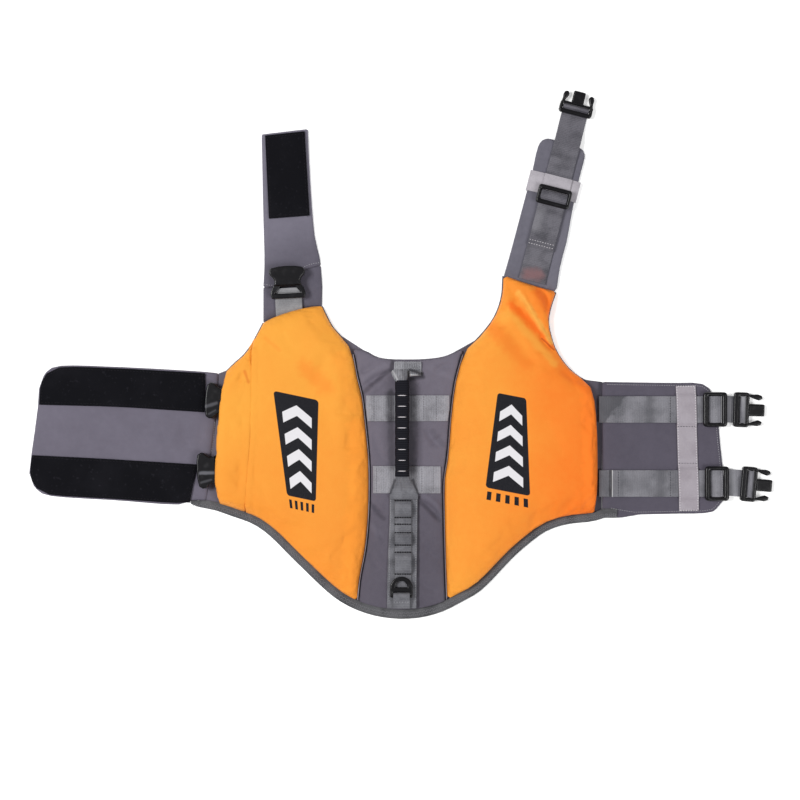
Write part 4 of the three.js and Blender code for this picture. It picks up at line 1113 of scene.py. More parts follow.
@dataclass
class ThinCloth(Piece):
    """Doubled cloth: a thin shell on its solid's form, with creases placed one by one."""

    voxel: float = 1.5 * MM
    folds: tuple[Crease, ...] = ()
    rests_on: tuple[str, ...] = ("floor",)
    pad: float | None = None
    ripple: float = 0.12 * MM
    fade: float = 7 * MM
    tuck: tuple[float, float, float, float] | None = None
    pull: Row | None = None

    def shape(self, frame: Frame) -> Object:
        """Meshes the solid evenly and presses the creases into its upper side."""
        made = evenly_meshed(frame.copy(self.node, self.name), self.voxel)
        rim = frame.outline(self.node)
        trim(made, rim, 1.5 * self.voxel, SEAM)
        if self.tuck:
            self.tuck_under(made)
        press(made, rim, self.folds, self.ripple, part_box(self.node)[0].z, self.fade)
        if self.pull:
            self.pull_corner(made)
        return smooth(made)

    def pull_corner(self, made: Object) -> None:
        """Pulls a corner out a little. The pull is its place, reach, and move in x and y, in millimetres."""
        x, y, reach, move_x, move_y = self.pull
        points = points_of(made)
        share = ramp(np.hypot(points[:, 0] - x * MM, points[:, 1] - y * MM), reach * MM, 0.3 * reach * MM)
        points[:, :2] += share[:, None] * np.array([move_x, move_y]) * MM
        move_points(made, points)

    def tuck_under(self, made: Object) -> None:
        """Runs the end that is sewn on a little way under its neighbour.

        The tuck is a place on the seam, the direction there, in degrees, and the length, in millimetres.
        """
        x, y, turn, length = self.tuck
        away = np.array([*heading(turn), 0.0])
        points = points_of(made)
        past = (points - np.array([x, y, 0.0]) * MM) @ away
        points += (ramp(past, -2 * MM, -0.5 * MM) * length * MM)[:, None] * away
        move_points(made, points)

    def declare(self, made: Object, frame: Frame) -> None:
        """States the cut of a piece that isn't padded."""
        if self.pad is None:
            state_cut(made, frame, self.node)


def press(
    made: Object, rim: np.ndarray, folds: Sequence[Crease], ripple: float, floor: float,
    fade: float = 7 * MM,
) -> None:
    """Presses creases and a slight ripple into the upper side of a piece, which fade out at its rim.

    Args:
        made: the piece.
        rim: its outline.
        folds: the creases.
        ripple: how high the ripple is.
        floor: the height of its underside, which stays flat.
        fade: how far from the rim they reach their full height.
    """
    points = points_of(made)
    upper = ramp(normals_of(made)[:, 2], 0.1, 0.8)
    inside = ramp(to_loop(points, rim)[0], 0.0, fade)
    rise = sum((fold.heights(points) for fold in folds), np.zeros(len(points)))
    x, y = points[:, 0] / MM, points[:, 1] / MM
    rise += ripple * np.sin(x / 7.3 + 1.7 * np.sin(y / 11.9)) * np.sin(y / 9.1 + 1.3 * np.sin(x / 14.2))
    rise -= ripple
    points[:, 2] = np.maximum(points[:, 2] + rise * upper * inside, floor)
    move_points(made, points)


@dataclass
class FoamPanel(Piece):
    """A foam panel in nylon. The cloth over the foam is simulated, so it puckers at its seams."""

    voxel: float = 2.4 * MM
    pressure: float = 2.0
    spare: float = 0.02
    cap: float = 0.9 * MM
    pinned: float = 6 * MM
    folds: tuple[Crease, ...] = ()
    seam: tuple[tuple[float, float], ...] = ()
    frames: int = 20

    def shape(self, frame: Frame) -> Object:
        """Meshes the panel, lets its cover settle under pressure, and presses in the creases."""
        made = evenly_meshed(frame.copy(self.node, self.name), self.voxel)
        self.settle(made)
        modify(made, "SUBSURF", levels=1, render_levels=1)
        baked(made)
        rim = frame.outline(self.node)
        trim(made, rim, 1.5 * self.voxel, SEAM, foot=3 * MM)
        if self.seam:
            self.close_seam(made)
        press(made, rim, self.folds, 0.0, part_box(self.node)[0].z, fade=4 * MM)
        return smooth(made)

    def close_seam(self, made: Object, reach: float = 10 * MM, dip: float = 0.5 * MM) -> None:
        """Lifts the panel's shoulder along its seam with another, so that only a fine line is left.

        Args:
            made: the panel.
            reach: how wide the shoulder is.
            dip: how deep the line at the seam is.
        """
        seam = np.array(self.seam) * MM
        points = points_of(made)
        off, nearest = to_loop(points, np.vstack([seam, seam[::-1]]))
        sign = math.copysign(1.0, float((points[:, 0] - nearest[:, 0]).mean()))
        base, tree = points[:, 2].min(), tree_of([made])
        ends = ramp(nearest[:, 1], seam[0, 1], seam[0, 1] + 12 * MM)
        ends *= ramp(nearest[:, 1], seam[-1, 1], seam[-1, 1] - 8 * MM)
        share = ends * ramp(off, reach, 0.4 * reach)

        def height(x: float, y: float) -> float:
            hit = tree.ray_cast(Vector((x, y, CLEAR)), DOWN)[0]
            return hit.z - base if hit else 0.0

        for i in np.flatnonzero(share > 0.01):
            x, y = nearest[i, 0], points[i, 1]
            low, high = height(x + sign * max(off[i], 0.8 * MM), y), height(x + sign * reach, y)
            if high > low > MM:
                points[i, 2] = base + (points[i, 2] - base) * (1 + share[i] * (high / low - 1))
        closing = ends * ramp(off, 3 * MM, MM)
        points[:, 0] -= sign * (off + 0.2 * MM) * closing
        points[:, 2] -= dip * ramp(off, 2.2 * MM, MM) * ends * (points[:, 2] > base + 8 * MM)
        move_points(made, points)

    def settle(self, made: Object) -> None:
        """Runs the cloth simulation and keeps its result, with each point's move capped."""
        start = points_of(made)
        floor = start[:, 2].min()
        group = made.vertex_groups.new(name="pinned")
        held = [int(i) for i in np.flatnonzero(start[:, 2] < floor + self.pinned)]
        group.add(held, 1.0, "REPLACE")
        modifier = modify(made, "CLOTH")
        assign(modifier.settings, {
            "quality": 5, "mass": 0.3, "tension_stiffness": 15, "compression_stiffness": 15,
            "bending_stiffness": 0.4, "air_damping": 2, "vertex_group_mass": group.name, "use_pressure": True,
            "uniform_pressure_force": self.pressure, "shrink_min": -self.spare,
        })
        modifier.settings.effector_weights.gravity = 0
        modifier.collision_settings.use_collision = False
        modifier.point_cache.frame_start, modifier.point_cache.frame_end = 1, self.frames
        scene = bpy.context.scene
        for number in range(1, self.frames + 1):
            scene.frame_set(number)
        baked(made)
        scene.frame_set(1)
        made.vertex_groups.clear()
        move = points_of(made) - start
        length = np.linalg.norm(move, axis=1, keepdims=True)
        LOG.info("%s: moved %.1f mm at most, %.1f mean", made.name, length.max() / MM, length.mean() / MM)
        capped = self.cap * np.tanh(length / self.cap)
        move_points(made, start + move * capped / np.maximum(length, 1e-9))

    def declare(self, made: Object, frame: Frame) -> None:
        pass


@dataclass
class Ribbon(Piece):
    """A strip of webbing or tape that follows its solid's own height and width along one direction.

    The direction is in degrees from +X. The strip is evened out a number of times between its stations, its
    middle may be crowned and its loops lifted, its sides may be slanted as the solid's are, and it may reach
    past the solid's last end.
    """

    turn: float = 0.0
    step: float = 1.5 * MM
    thick: float | None = None
    round_off: float = 0.3 * MM
    even: int = 2
    crown: float = 0.0
    lift: float = 1.0
    slanted: bool = False
    reach: float = 0.0
    rests_on: tuple[str, ...] = ()

    def shape(self, frame: Frame) -> Object:
        """Sweeps a section with round edges along the solid, whose last end may reach under a neighbour."""
        tree = frame.tree(self.node)
        c, s = heading(self.turn)
        along, across = Vector((c, s, 0)), Vector((-s, c, 0))
        solid = points_of(frame.nodes[self.node])
        us, vs = solid @ np.array(along), solid @ np.array(across)
        inset = 0.05 * MM
        stations = np.linspace(us.min() + inset, us.max() - inset, max(4, int(np.ptp(us) / self.step)))
        middle, spread = (vs.min() + vs.max()) / 2, np.ptp(vs)
        rows = []
        for u in stations:
            row = self.measure(tree, along, across, u, middle, spread)
            if row:
                rows.append((u, *row))
        table = np.array(rows)
        if not self.slanted:
            table[:, 1], table[:, 2] = vs.min() + inset, vs.max() - inset
        tops = table[:, 4]
        tops += (tops - tops.min()) * (self.lift - 1)
        even_out(table, self.even)
        if self.reach:
            more = np.repeat(table[-1:], 4, axis=0)
            more[:, 0] += self.reach * np.arange(1, 5) / 4
            table = np.vstack([table, more])
        rings = [self.ring(along, across, row) for row in table]
        return smooth(add_object(self.name, skin(self.name, rings)), 50)

    def measure(
        self, tree: BVHTree, along: Vector, across: Vector, u: float, middle: float, spread: float
    ) -> tuple[float, float, float, float] | None:
        """Finds the low and high side, the underside and the top of the solid at one station.

        Args:
            tree: the solid's faces.
            along: the strip's direction.
            across: the direction across it.
            u: how far along the station is.
            middle: where the strip's middle is, across.
            spread: how wide the solid is, across.

        Returns:
            The four places, or None where there is no solid.
        """
        starts = [along * u + across * (middle + aside) - CLEAR * DOWN for aside in (0, 2 * MM)]
        hits = [hit for hit in (tree.ray_cast(start, DOWN)[0] for start in starts) if hit]
        if not hits:
            return None
        top = hits[0].z
        foot = tree.ray_cast(Vector((hits[0].x, hits[0].y, -CLEAR)), -DOWN)[0]
        base = foot.z if foot else top - MM
        height = (top + base) / 2
        sides = []
        for sign in (-1, 1):
            origin = along * u + across * (middle + sign * spread) + Vector((0, 0, height))
            hit = tree.ray_cast(origin, across * -sign)[0]
            sides.append(hit.dot(across) if hit else middle + sign * spread / 2)
        if self.thick is not None:
            base = max(base, top - self.thick)
        return sides[0], sides[1], base, top

    def ring(self, along: Vector, across: Vector, row: np.ndarray) -> list[Vector]:
        """The section at one station, as a ring of points."""
        u, low, high, base, top = (float(v) for v in row)
        edge = min(self.round_off, (top - base) / 2.2)
        inner = [low + edge + (high - low - 2 * edge) * t for t in (0, 0.04, 0.25, 0.5, 0.75, 0.96, 1)]
        upper = [(v, top - (0.0 if 0 < i < 6 else 0.3 * edge)) for i, v in enumerate(inner)]
        upper = [(v, z + self.crown * (1 - (2 * (v - low) / (high - low) - 1) ** 2)) for v, z in upper]
        lower = [(v, base) for v in reversed(inner)]
        left, right = [(low, base + edge), (low, top - edge)], [(high, top - edge), (high, base + edge)]
        section = [*left, *upper, *right, *lower]
        return [along * u + across * v + Vector((0, 0, z)) for v, z in section]

    def declare(self, made: Object, frame: Frame) -> None:
        """States the strip's cut."""
        state_strip(made, self.turn)


def state_strip(made: Object, turn: float) -> None:
    """Works out a strip's width and its length along its own surface, and logs them."""
    points = points_of(made)
    c, s = heading(turn)
    us, vs = points @ np.array([c, s, 0]), points @ np.array([-s, c, 0])
    order = np.linspace(us.min(), us.max(), 60)
    tops = np.array([points[np.abs(us - u) < 2.5 * MM, 2].max() for u in order])
    length = float(np.sum(np.hypot(np.diff(order), np.diff(tops))))
    width = float(np.ptp(vs))
    state_sheet(made, width, length, max(one_side(made), LEAST_SHARE * width * length))


def skin(name: str, rings: Sequence[Sequence[Vector]]) -> bpy.types.Mesh:
    """A closed mesh through rings of points that all have the same count."""
    count = len(rings[0])
    points = [point for ring in rings for point in ring]
    faces: list[tuple[int, ...]] = []
    for r in range(len(rings) - 1):
        for i in range(count):
            a, b = r * count + i, r * count + (i + 1) % count
            faces.append((a, a + count, b + count, b))
    faces.append(tuple(range(count)))
    faces.append(tuple(reversed(range((len(rings) - 1) * count, len(rings) * count))))
    mesh = bpy.data.meshes.new(name)
    mesh.from_pydata(points, [], faces)
    return turned_out(mesh)


def turned_out(mesh: bpy.types.Mesh) -> bpy.types.Mesh:
    """Turns all the faces of a closed mesh outward."""
    whole = bmesh.new()
    whole.from_mesh(mesh)
    bmesh.ops.recalc_face_normals(whole, faces=whole.faces)
    whole.to_mesh(mesh)
    whole.free()
    return mesh


@dataclass
class Grip(Piece):
    """The handle's sleeve, puffed between its stitched ticks."""

    pitch: float = 10.3 * MM
    puff: float = 0.35 * MM
    sides: int = 28
    step: float = 0.7 * MM

    def shape(self, frame: Frame) -> Object:
        """Sweeps a flattened round section along the solid's own middle line."""
        tree = frame.tree(self.node)
        low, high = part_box(self.node)
        middle = (low.x + high.x) / 2
        rings = []
        for y in np.linspace(low.y + 0.05 * MM, high.y - 0.05 * MM, int((high.y - low.y) / self.step)):
            top = tree.ray_cast(Vector((middle, y, CLEAR)), DOWN)[0].z
            base = tree.ray_cast(Vector((middle, y, 0)), -DOWN)[0].z
            swell = self.puff * abs(math.sin(math.pi * (high.y - y) / self.pitch)) ** 0.5
            half_height = (top - base) / 2 - 0.3 * MM + swell
            half_width = (high.x - low.x) / 2 + 0.2 * MM + swell
            ring = []
            for i in range(self.sides):
                angle = 2 * math.pi * i / self.sides
                c, s = math.cos(angle), math.sin(angle)
                x = half_width * math.copysign(abs(c) ** 0.75, c)
                z = half_height * math.copysign(abs(s) ** 0.75, s)
                ring.append(Vector((middle + x, y, (top + base) / 2 + z)))
            rings.append(ring)
        return smooth(add_object(self.name, skin(self.name, rings)), 60)

    def declare(self, made: Object, frame: Frame) -> None:
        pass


@dataclass
class GatheredStrap(Piece):
    """Webbing that is gathered from its full width into the grip.

    Each station is y, the middle's x, the half width, the top's height and the depth of the pleats, all in
    millimetres.
    """

    stations: tuple[Row, ...] = ()
    thick: float = 1.3 * MM
    columns: int = 24
    rests_on: tuple[str, ...] = ()

    def shape(self, frame: Frame) -> Object:
        """Sweeps a pleated section through the stations."""
        table = np.array(self.stations) * MM
        ys = np.linspace(table[0, 0], table[-1, 0], 28)
        rows = np.array([np.interp(ys, table[:, 0], table[:, i]) for i in range(5)]).T
        even_out(rows, 2)
        rings = []
        for y, middle, half, top, pleat in rows:
            upper, lower = [], []
            for u in np.linspace(-1, 1, self.columns):
                z = top - pleat * (0.5 - 0.5 * math.cos(2.2 * math.pi * u + 0.6)) - 0.35 * pleat * u * u
                x = middle + half * (u + 0.06 * math.sin(5 * u) * min(1.0, pleat / (2 * MM)))
                upper.append(Vector((x, y, z)))
                lower.append(Vector((x, y, z - self.thick)))
            rings.append(upper + lower[::-1])
        return smooth(add_object(self.name, skin(self.name, rings)), 50)

    def declare(self, made: Object, frame: Frame) -> None:
        """States the strap's cut."""
        state_strip(made, 90)


class Rail(IntEnum):
    """Columns of a strip's table: the place along y, the left and right side, and the height at each."""

    Y = 0
    LEFT = 1
    RIGHT = 2
    NEAR = 3
    FAR = 4


@dataclass
class HandleRoot(Piece):
    """The handle's webbing at the neck edge: its left half runs into the grip, its right half curls under.

    Each half has a table of rows from the neck edge to the grip, in millimetres, with the columns of Rail.
    """

    left: tuple[Row, ...] = (
        (110.2, -8.2, 4.4, 7.6, 7.6), (106.0, -8.2, 4.4, 7.8, 7.8), (102.4, -8.4, 4.2, 8.0, 8.0),
        (101.2, -10.4, 3.8, 10.4, 12.4), (99.4, -11.1, 3.6, 12.6, 15.6), (96.4, -9.6, 3.6, 16.4, 18.2),
        (93.6, -8.2, 3.6, 19.4, 20.0), (91.6, -7.2, 3.4, 20.4, 20.4),
    )
    right: tuple[Row, ...] = (
        (110.2, 4.6, 17.2, 7.6, 7.6), (106.0, 4.6, 17.2, 7.8, 7.8), (102.6, 4.8, 17.2, 7.6, 7.6),
        (101.6, 6.6, 17.0, 9.0, 8.0), (98.6, 6.6, 18.6, 15.4, 10.4), (97.0, 6.4, 16.8, 14.4, 9.2),
        (97.8, 4.0, 10.0, 9.6, 8.6), (95.4, -2.0, 3.0, 10.8, 10.8),
    )
    columns: int = 10
    thick: float = 1.0 * MM
    rests_on: tuple[str, ...] = ("centre_panel",)

    def shape(self, frame: Frame) -> Object:
        """Lays a sheet over both tables and gives it its thickness."""
        rows = [
            self.half(a, 0.9) + self.half(b, 1.4) for a, b in zip(self.left, self.right)
        ]
        width = len(rows[0])
        faces = [
            (r * width + i, r * width + i + 1, (r + 1) * width + i + 1, (r + 1) * width + i)
            for r in range(len(rows) - 1)
            for i in range(width - 1)
        ]
        mesh = bpy.data.meshes.new(self.name)
        mesh.from_pydata([point for row in rows for point in row], [], faces)
        made = add_object(self.name, mesh)
        modify(made, "SUBSURF", levels=2, render_levels=2)
        modify(made, "SOLIDIFY", thickness=self.thick, offset=0.0, use_even_offset=False)
        turned_out(baked(made).data)
        return smooth(made, 60)

    def half(self, row: Row, bulge: float) -> list[Vector]:
        """The points across one half of the webbing, bulging where it is off the panel."""
        lift = bulge * ramp(np.array([row[Rail.NEAR]]), 8.0, 12.0)[0]
        points = []
        for t in np.linspace(0, 1, self.columns):
            x = row[Rail.LEFT] + (row[Rail.RIGHT] - row[Rail.LEFT]) * t
            z = row[Rail.NEAR] + (row[Rail.FAR] - row[Rail.NEAR]) * t
            points.append(Vector((x, row[Rail.Y], z + lift * (math.sin(math.pi * t) - 0.8))) * MM)
        return points

    def declare(self, made: Object, frame: Frame) -> None:
        """States the webbing's cut."""
        state_strip(made, 90)


# Stitching


class Style(Enum):
    """How a row of stitches is sewn: length, width, pitch and the turn of every other stitch."""

    RUN = (2.3 * MM, 0.55 * MM, 3.0 * MM, 0.0)
    FINE = (1.6 * MM, 0.6 * MM, 2.2 * MM, 0.0)
    BOLD = (1.7 * MM, 0.9 * MM, 2.4 * MM, 0.0)
    CLOSE = (2.3 * MM, 1.5 * MM, 2.0 * MM, 0.0)
    ZIGZAG = (2.8 * MM, 0.6 * MM, 1.9 * MM, 52.0)
    TICK = (8.6 * MM, 0.8 * MM, 8.75 * MM, 0.0)


@dataclass
class Stitches:
    """Rows of one thread in one style, laid on the dressed pieces by a Geometry Nodes tree."""

    name: str
    finish: Thread
    style: Style
    rows: list[np.ndarray] = field(default_factory=list)
    crosswise: bool = False

    def line(self, *points: tuple[float, float]) -> Stitches:
        """Adds a row through places in millimetres."""
        self.rows.append(np.array(points, float) * MM)
        return self

    def build(self, surface: BVHTree) -> Object:
        """Sews the rows.

        Args:
            surface: the faces that the thread lies on.

        Returns:
            The thread as one plain mesh.
        """
        points: list[Vector] = []
        edges: list[tuple[int, int]] = []
        for row in self.rows:
            for dropped in drop(row, surface):
                first = len(points)
                points += dropped
                edges += [(first + i, first + i + 1) for i in range(len(dropped) - 1)]
        mesh = bpy.data.meshes.new(self.name)
        mesh.from_pydata(points, edges, [])
        made = add_object(self.name, mesh)
        length, width, pitch, turn = self.style.value
        tree, sockets = stitch_tree()
        modifier = made.modifiers.new("stitches", "NODES")
        modifier.node_group = tree
        values = {
            "Length": length, "Width": width, "Pitch": pitch, "Turn": math.radians(turn),
            "Crosswise": math.radians(90 if self.crosswise else 0), "Thread": self.finish.material(),
        }
        for key, value in values.items():
            modifier[sockets[key]] = value
        baked(made)
        smooth(made)
        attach(made, JACKET)
        LOG.info("%s: %d faces", self.name, len(made.data.polygons))
        return made


def drop(row: np.ndarray, surface: BVHTree, step: float = 0.8 * MM) -> list[list[Vector]]:
    """Drops a row of places onto a surface. A row that runs off it is returned in parts."""
    parts: list[list[Vector]] = [[]]
    for a, b in zip(row[:-1], row[1:]):
        count = max(1, int(np.linalg.norm(b - a) / step))
        for t in np.arange(count) / count:
            x, y = a + (b - a) * t
            hit = surface.ray_cast(Vector((x, y, CLEAR)), DOWN)[0]
            if hit is None:
                parts.append([])
                continue
            parts[-1].append(hit + Vector((0, 0, 0.08 * MM)))
    return [part for part in parts if len(part) > 2]


def stitch_tree() -> tuple[bpy.types.NodeTree, dict[str, str]]:
    """The Geometry Nodes tree that sews stitches along edges, and its inputs' identifiers by name."""
    found = bpy.data.node_groups.get("sewn_row")
    if found:
        return found, {item.name: item.identifier for item in found.interface.items_tree}
    tree = bpy.data.node_groups.new("sewn_row", "GeometryNodeTree")
    inputs = {
        "Row": "NodeSocketGeometry",
        **dict.fromkeys(("Length", "Width", "Pitch", "Turn", "Crosswise"), "NodeSocketFloat"),
        "Thread": "NodeSocketMaterial",
    }
    for name, kind in inputs.items():
        tree.interface.new_socket(name=name, in_out="INPUT", socket_type=kind)
    tree.interface.new_socket(name="Sewn", in_out="OUTPUT", socket_type="NodeSocketGeometry")
    entry = tree.nodes.new("NodeGroupInput")
    leave = tree.nodes.new("NodeGroupOutput")

    def add(kind: str, settings: dict | None = None, **links: object) -> bpy.types.Node:
        node = tree.nodes.new(kind)
        assign(node, settings or {})
        for key, value in links.items():
            socket = node.inputs[int(key[1:])] if key[1:].isdigit() else node.inputs[key.replace("_", " ")]
            if isinstance(value, bpy.types.NodeSocket):
                tree.links.new(value, socket)
            else:
                socket.default_value = value
        return node

    line = add("GeometryNodeMeshToCurve", Mesh=entry.outputs["Row"])
    length, width, pitch = (entry.outputs[name] for name in ("Length", "Width", "Pitch"))
    dots = add("GeometryNodeCurveToPoints", {"mode": "LENGTH"}, Curve=line.outputs[0], Length=pitch)
    axes = {"axis": "X", "pivot_axis": "Z"}
    facing = add("FunctionNodeAlignRotationToVector", axes, Vector=dots.outputs["Tangent"])
    number = add("GeometryNodeInputIndex")
    odd = add("ShaderNodeMath", {"operation": "MODULO"}, i0=number.outputs[0], i1=2.0)
    sign = add("ShaderNodeMath", {"operation": "MULTIPLY_ADD"}, i0=odd.outputs[0], i1=2.0, i2=-1.0)
    swing = add("ShaderNodeMath", {"operation": "MULTIPLY"}, i0=sign.outputs[0], i1=entry.outputs["Turn"])
    spin = add("ShaderNodeMath", {"operation": "ADD"}, i0=swing.outputs[0], i1=entry.outputs["Crosswise"])
    euler = add("ShaderNodeCombineXYZ", Z=spin.outputs[0])
    turned = add("FunctionNodeEulerToRotation", Euler=euler.outputs[0])
    rotation = add(
        "FunctionNodeRotateRotation", {"rotation_space": "LOCAL"},
        Rotation=facing.outputs[0], Rotate_By=turned.outputs[0],
    )
    ball = add("GeometryNodeMeshUVSphere", Segments=6, Rings=4, Radius=0.5)
    size = add("ShaderNodeCombineXYZ", X=length, Y=width, Z=width)
    vary = add("FunctionNodeRandomValue", {"data_type": "FLOAT"}, i2=0.9, i3=1.08)
    scale = add("ShaderNodeVectorMath", {"operation": "SCALE"}, i0=size.outputs[0], Scale=vary.outputs[1])
    placed = add(
        "GeometryNodeInstanceOnPoints", Points=dots.outputs["Points"], Instance=ball.outputs["Mesh"],
        Rotation=rotation.outputs[0], Scale=scale.outputs[0],
    )
    real = add("GeometryNodeRealizeInstances", Geometry=placed.outputs[0])
    coloured = add("GeometryNodeSetMaterial", Geometry=real.outputs[0], Material=entry.outputs["Thread"])
    tree.links.new(coloured.outputs[0], leave.inputs[0])
    return tree, {item.name: item.identifier for item in tree.interface.items_tree}


# Sub-assemblies


class Assembly:
    """A group of pieces, which are built in order."""

    def pieces(self) -> list[Piece]:
        """The pieces of the group."""
        raise NotImplementedError

    def build(self, frame: Frame) -> list[Object]:
        """Builds the pieces."""
        return [piece.build(frame) for piece in self.pieces()]


@dataclass
class BackPanels(Assembly):
    """The inner shell, the foam panels, the centre panel, the piping and the hem binding."""

    left_folds: tuple[Crease, ...] = creases(
        (-70, 118, -84, 88, 5.0, -1.3), (-83, 94, -66, 26, 9.0, -1.2), (-58, 96, -50, 60, 6.0, 0.7),
        (-128, 128, -112, 118, 4.0, -0.5), (-112, 140, -98, 120, 4.0, -0.6), (-60, -70, -50, -92, 3.0, -0.5),
        (-84, -66, -70, -84, 3.4, -0.5), (-134, 4, -126, -26, 3.6, -0.5), (-60, 8, -48, -30, 7.0, -0.6),
        (-126, -34, -100, -52, 5.0, -0.5),
    )
    outer_folds: tuple[Crease, ...] = creases(
        (-146, 101, -152, 86, 3.0, -1.1), (-151, 104, -158, 88, 3.0, 0.6), (-150, 20, -153, -8, 4.0, -0.9),
        (-164, 60, -160, 30, 5.0, -0.4),
    )
    right_folds: tuple[Crease, ...] = creases(
        (96, 184, 137, 127, 4.6, -3.4), (109, 176, 143, 120, 4.0, 3.4), (123, 183, 139, 146, 4.2, -2.4),
        (127, 137, 143, 119, 2.0, -2.2), (130, 143, 142, 131, 1.6, -1.2), (88, 148, 124, 98, 7.5, -2.4),
        (66, 112, 104, 162, 8.0, 1.6), (108, 108, 138, 92, 6.0, 1.2), (146, 104, 162, 78, 4.0, -0.9),
        (60, 102, 72, 78, 4.0, -0.6), (160, -8, 148, -30, 4.5, -0.8), (118, -48, 128, -26, 5.0, -1.0),
        (60, -80, 72, -92, 3.0, -0.5), (128, 60, 150, 20, 9.0, -0.8),
    )
    centre_folds: tuple[Crease, ...] = creases(
        (-12, 101, -40, 84, 2.6, -2.9), (-26, 108, -42, 100, 2.6, -1.8), (22, 50, 38, 30, 3.0, -2.4),
        (14, -18, 36, -40, 2.6, -2.9), (-28, -22, -17, -34, 2.4, -2.4), (28, 100, 46, 108, 2.8, -1.9),
        (-16, 92, -38, 76, 3.0, 1.2), (18, -14, 38, -32, 2.6, 1.2),
        (-26, 44, -16, 16, 3.2, -1.4), (18, -60, 34, -72, 2.8, -1.3), (-30, -66, -20, -82, 2.8, -1.3),
        (16, -94, 34, -102, 2.8, -1.2), (22, 30, 40, 44, 2.4, -1.1), (22, 88, 36, 84, 4.0, -1.1),
        (-26, -42, -19, -60, 3.0, 1.2), (-38, 96, -24, 84, 2.6, 1.2),
    )

    def pieces(self) -> list[Piece]:
        """The pieces of the back."""
        return [
            FlatCloth("inner_shell", GREY_SHELL, bevel=0.5 * MM, grow=SEAM, rests_on=("floor",)),
            FoamPanel("orange_left_outer", ORANGE_LEFT, folds=self.outer_folds, seam=LEFT_SEAM, voxel=2 * MM),
            FoamPanel("orange_left_main", ORANGE_LEFT, folds=self.left_folds, seam=LEFT_SEAM),
            FoamPanel("orange_right", ORANGE_RIGHT, folds=self.right_folds),
            ThinCloth(
                "centre_panel", GREY_CENTRE, folds=self.centre_folds, voxel=1.6 * MM, pad=0.4, fade=4 * MM,
            ),
            Rounded("piping_left", PIPED, foam_side=-1.0),
            Rounded("piping_right", PIPED, foam_side=1.0),
            HemBinding("hem_binding", BINDING, bevel=0.6 * MM, segments=3, grow=SEAM),
        ]


@dataclass
class Spine(Assembly):
    """The bands, the handle, the spine strip with its loops, and the lead ring in its tab."""

    lower_strap: tuple[Row, ...] = (
        (-17.5, 0.8, 13.0, 10.6, 0.0), (-12.6, 0.7, 13.0, 11.0, 0.2), (-8.0, 0.5, 11.4, 12.4, 0.8),
        (-3.6, 0.2, 8.4, 15.6, 1.2), (0.2, -0.4, 6.9, 18.4, 1.2), (4.0, -0.8, 6.2, 20.0, 1.0),
    )

    def pieces(self) -> list[Piece]:
        """The pieces on the spine."""
        on_panel, on_strip = ("centre_panel",), ("spine_strip",)
        return [
            Ribbon("band_upper", WEB_BAND, thick=WEB, even=0, slanted=True, rests_on=on_panel),
            Ribbon("band_lower", WEB_BAND, thick=WEB, even=0, slanted=True, rests_on=on_panel),
            HandleRoot("handle_strap_upper", WEB_ROOT),
            Grip("handle_grip", GRIP_SLEEVE),
            GatheredStrap("handle_strap_lower", WEB_ALONG_Y, stations=self.lower_strap, rests_on=on_strip),
            Ribbon("spine_strip", WEB_ALONG_Y, turn=90, thick=WEB, slanted=True, rests_on=on_panel),
            Ribbon(
                "loop_webbing", WEB_ALONG_Y, turn=90, step=0.8 * MM, thick=WEB, lift=1.5, rests_on=on_strip,
            ),
            FlatCloth("d_ring_tab", WEB_ALONG_Y, bevel=0.25 * MM, rests_on=on_strip, folded=True),
            Softened("d_ring", ACETAL, body=RING, voxel=0.35 * MM, swell=0.0),
        ]


@dataclass
class LeftBelly(Assembly):
    """The belly flap with its tapes and the two female buckles at its root."""

    folds: tuple[Crease, ...] = creases(
        (-300, 60, -262, 38, 6.0, -0.5), (-240, 58, -216, 30, 5.0, -0.6), (-204, 56, -196, 24, 4.0, -0.7),
        (-330, 44, -306, 32, 5.0, -0.4), (-284, 30, -250, 26, 5.0, -0.4), (-190, 50, -182, 34, 3.0, -0.6),
    )

    def pieces(self) -> list[Piece]:
        """The flap's pieces."""
        pieces: list[Piece] = [
            ThinCloth("belly_flap_left", GREY_LEFT, folds=self.folds, voxel=1.4 * MM),
            FlatCloth("flap_tape_upper", HOOK_TAPE, bevel=0.4 * MM, rests_on=("belly_flap_left",)),
            FlatCloth("flap_tape_lower", HOOK_TAPE, bevel=0.4 * MM, rests_on=("belly_flap_left",)),
        ]
        for side, turn in (("upper", -3.0), ("lower", 4.0)):
            buckle = f"buckle_female_{side}"
            pieces.append(Softened(buckle, ACETAL))
            pieces.append(Ribbon(f"female_tab_{side}", WEB_ALONG_X, turn=turn, rests_on=(buckle,)))
        return pieces


@dataclass
class LeftNeck(Assembly):
    """The left neck strap in two parts, its patch, and the female buckle with its tab."""

    upper_folds: tuple[Crease, ...] = creases(
        (-124, 224, -100, 225, 2.6, -0.5), (-122, 232, -96, 230, 3.0, 0.25), (-98, 206, -84, 212, 3.2, -0.5),
        (-110, 214, -92, 208, 3.0, -0.4), (-90, 240, -86, 226, 2.6, -0.4),
    )
    lower_folds: tuple[Crease, ...] = creases(
        (-92, 184, -82, 168, 3.0, -0.5), (-126, 172, -124, 158, 2.4, -0.4), (-88, 196, -80, 186, 2.4, -0.4),
    )

    def pieces(self) -> list[Piece]:
        """The strap's pieces."""
        return [
            ThinCloth("neck_strap_lower", GREY_STRAP, folds=self.lower_folds, voxel=1.2 * MM),
            ThinCloth("neck_strap_upper", GREY_STRAP, folds=self.upper_folds, voxel=1.2 * MM),
            FlatCloth("neck_patch", HOOK_TAPE, bevel=0.4 * MM, rests_on=("neck_strap_upper",)),
            Softened("buckle_female_neck", ACETAL),
            Ribbon("neck_female_tab", WEB_TAB, turn=-87, reach=6 * MM, rests_on=("neck_strap_lower",)),
        ]


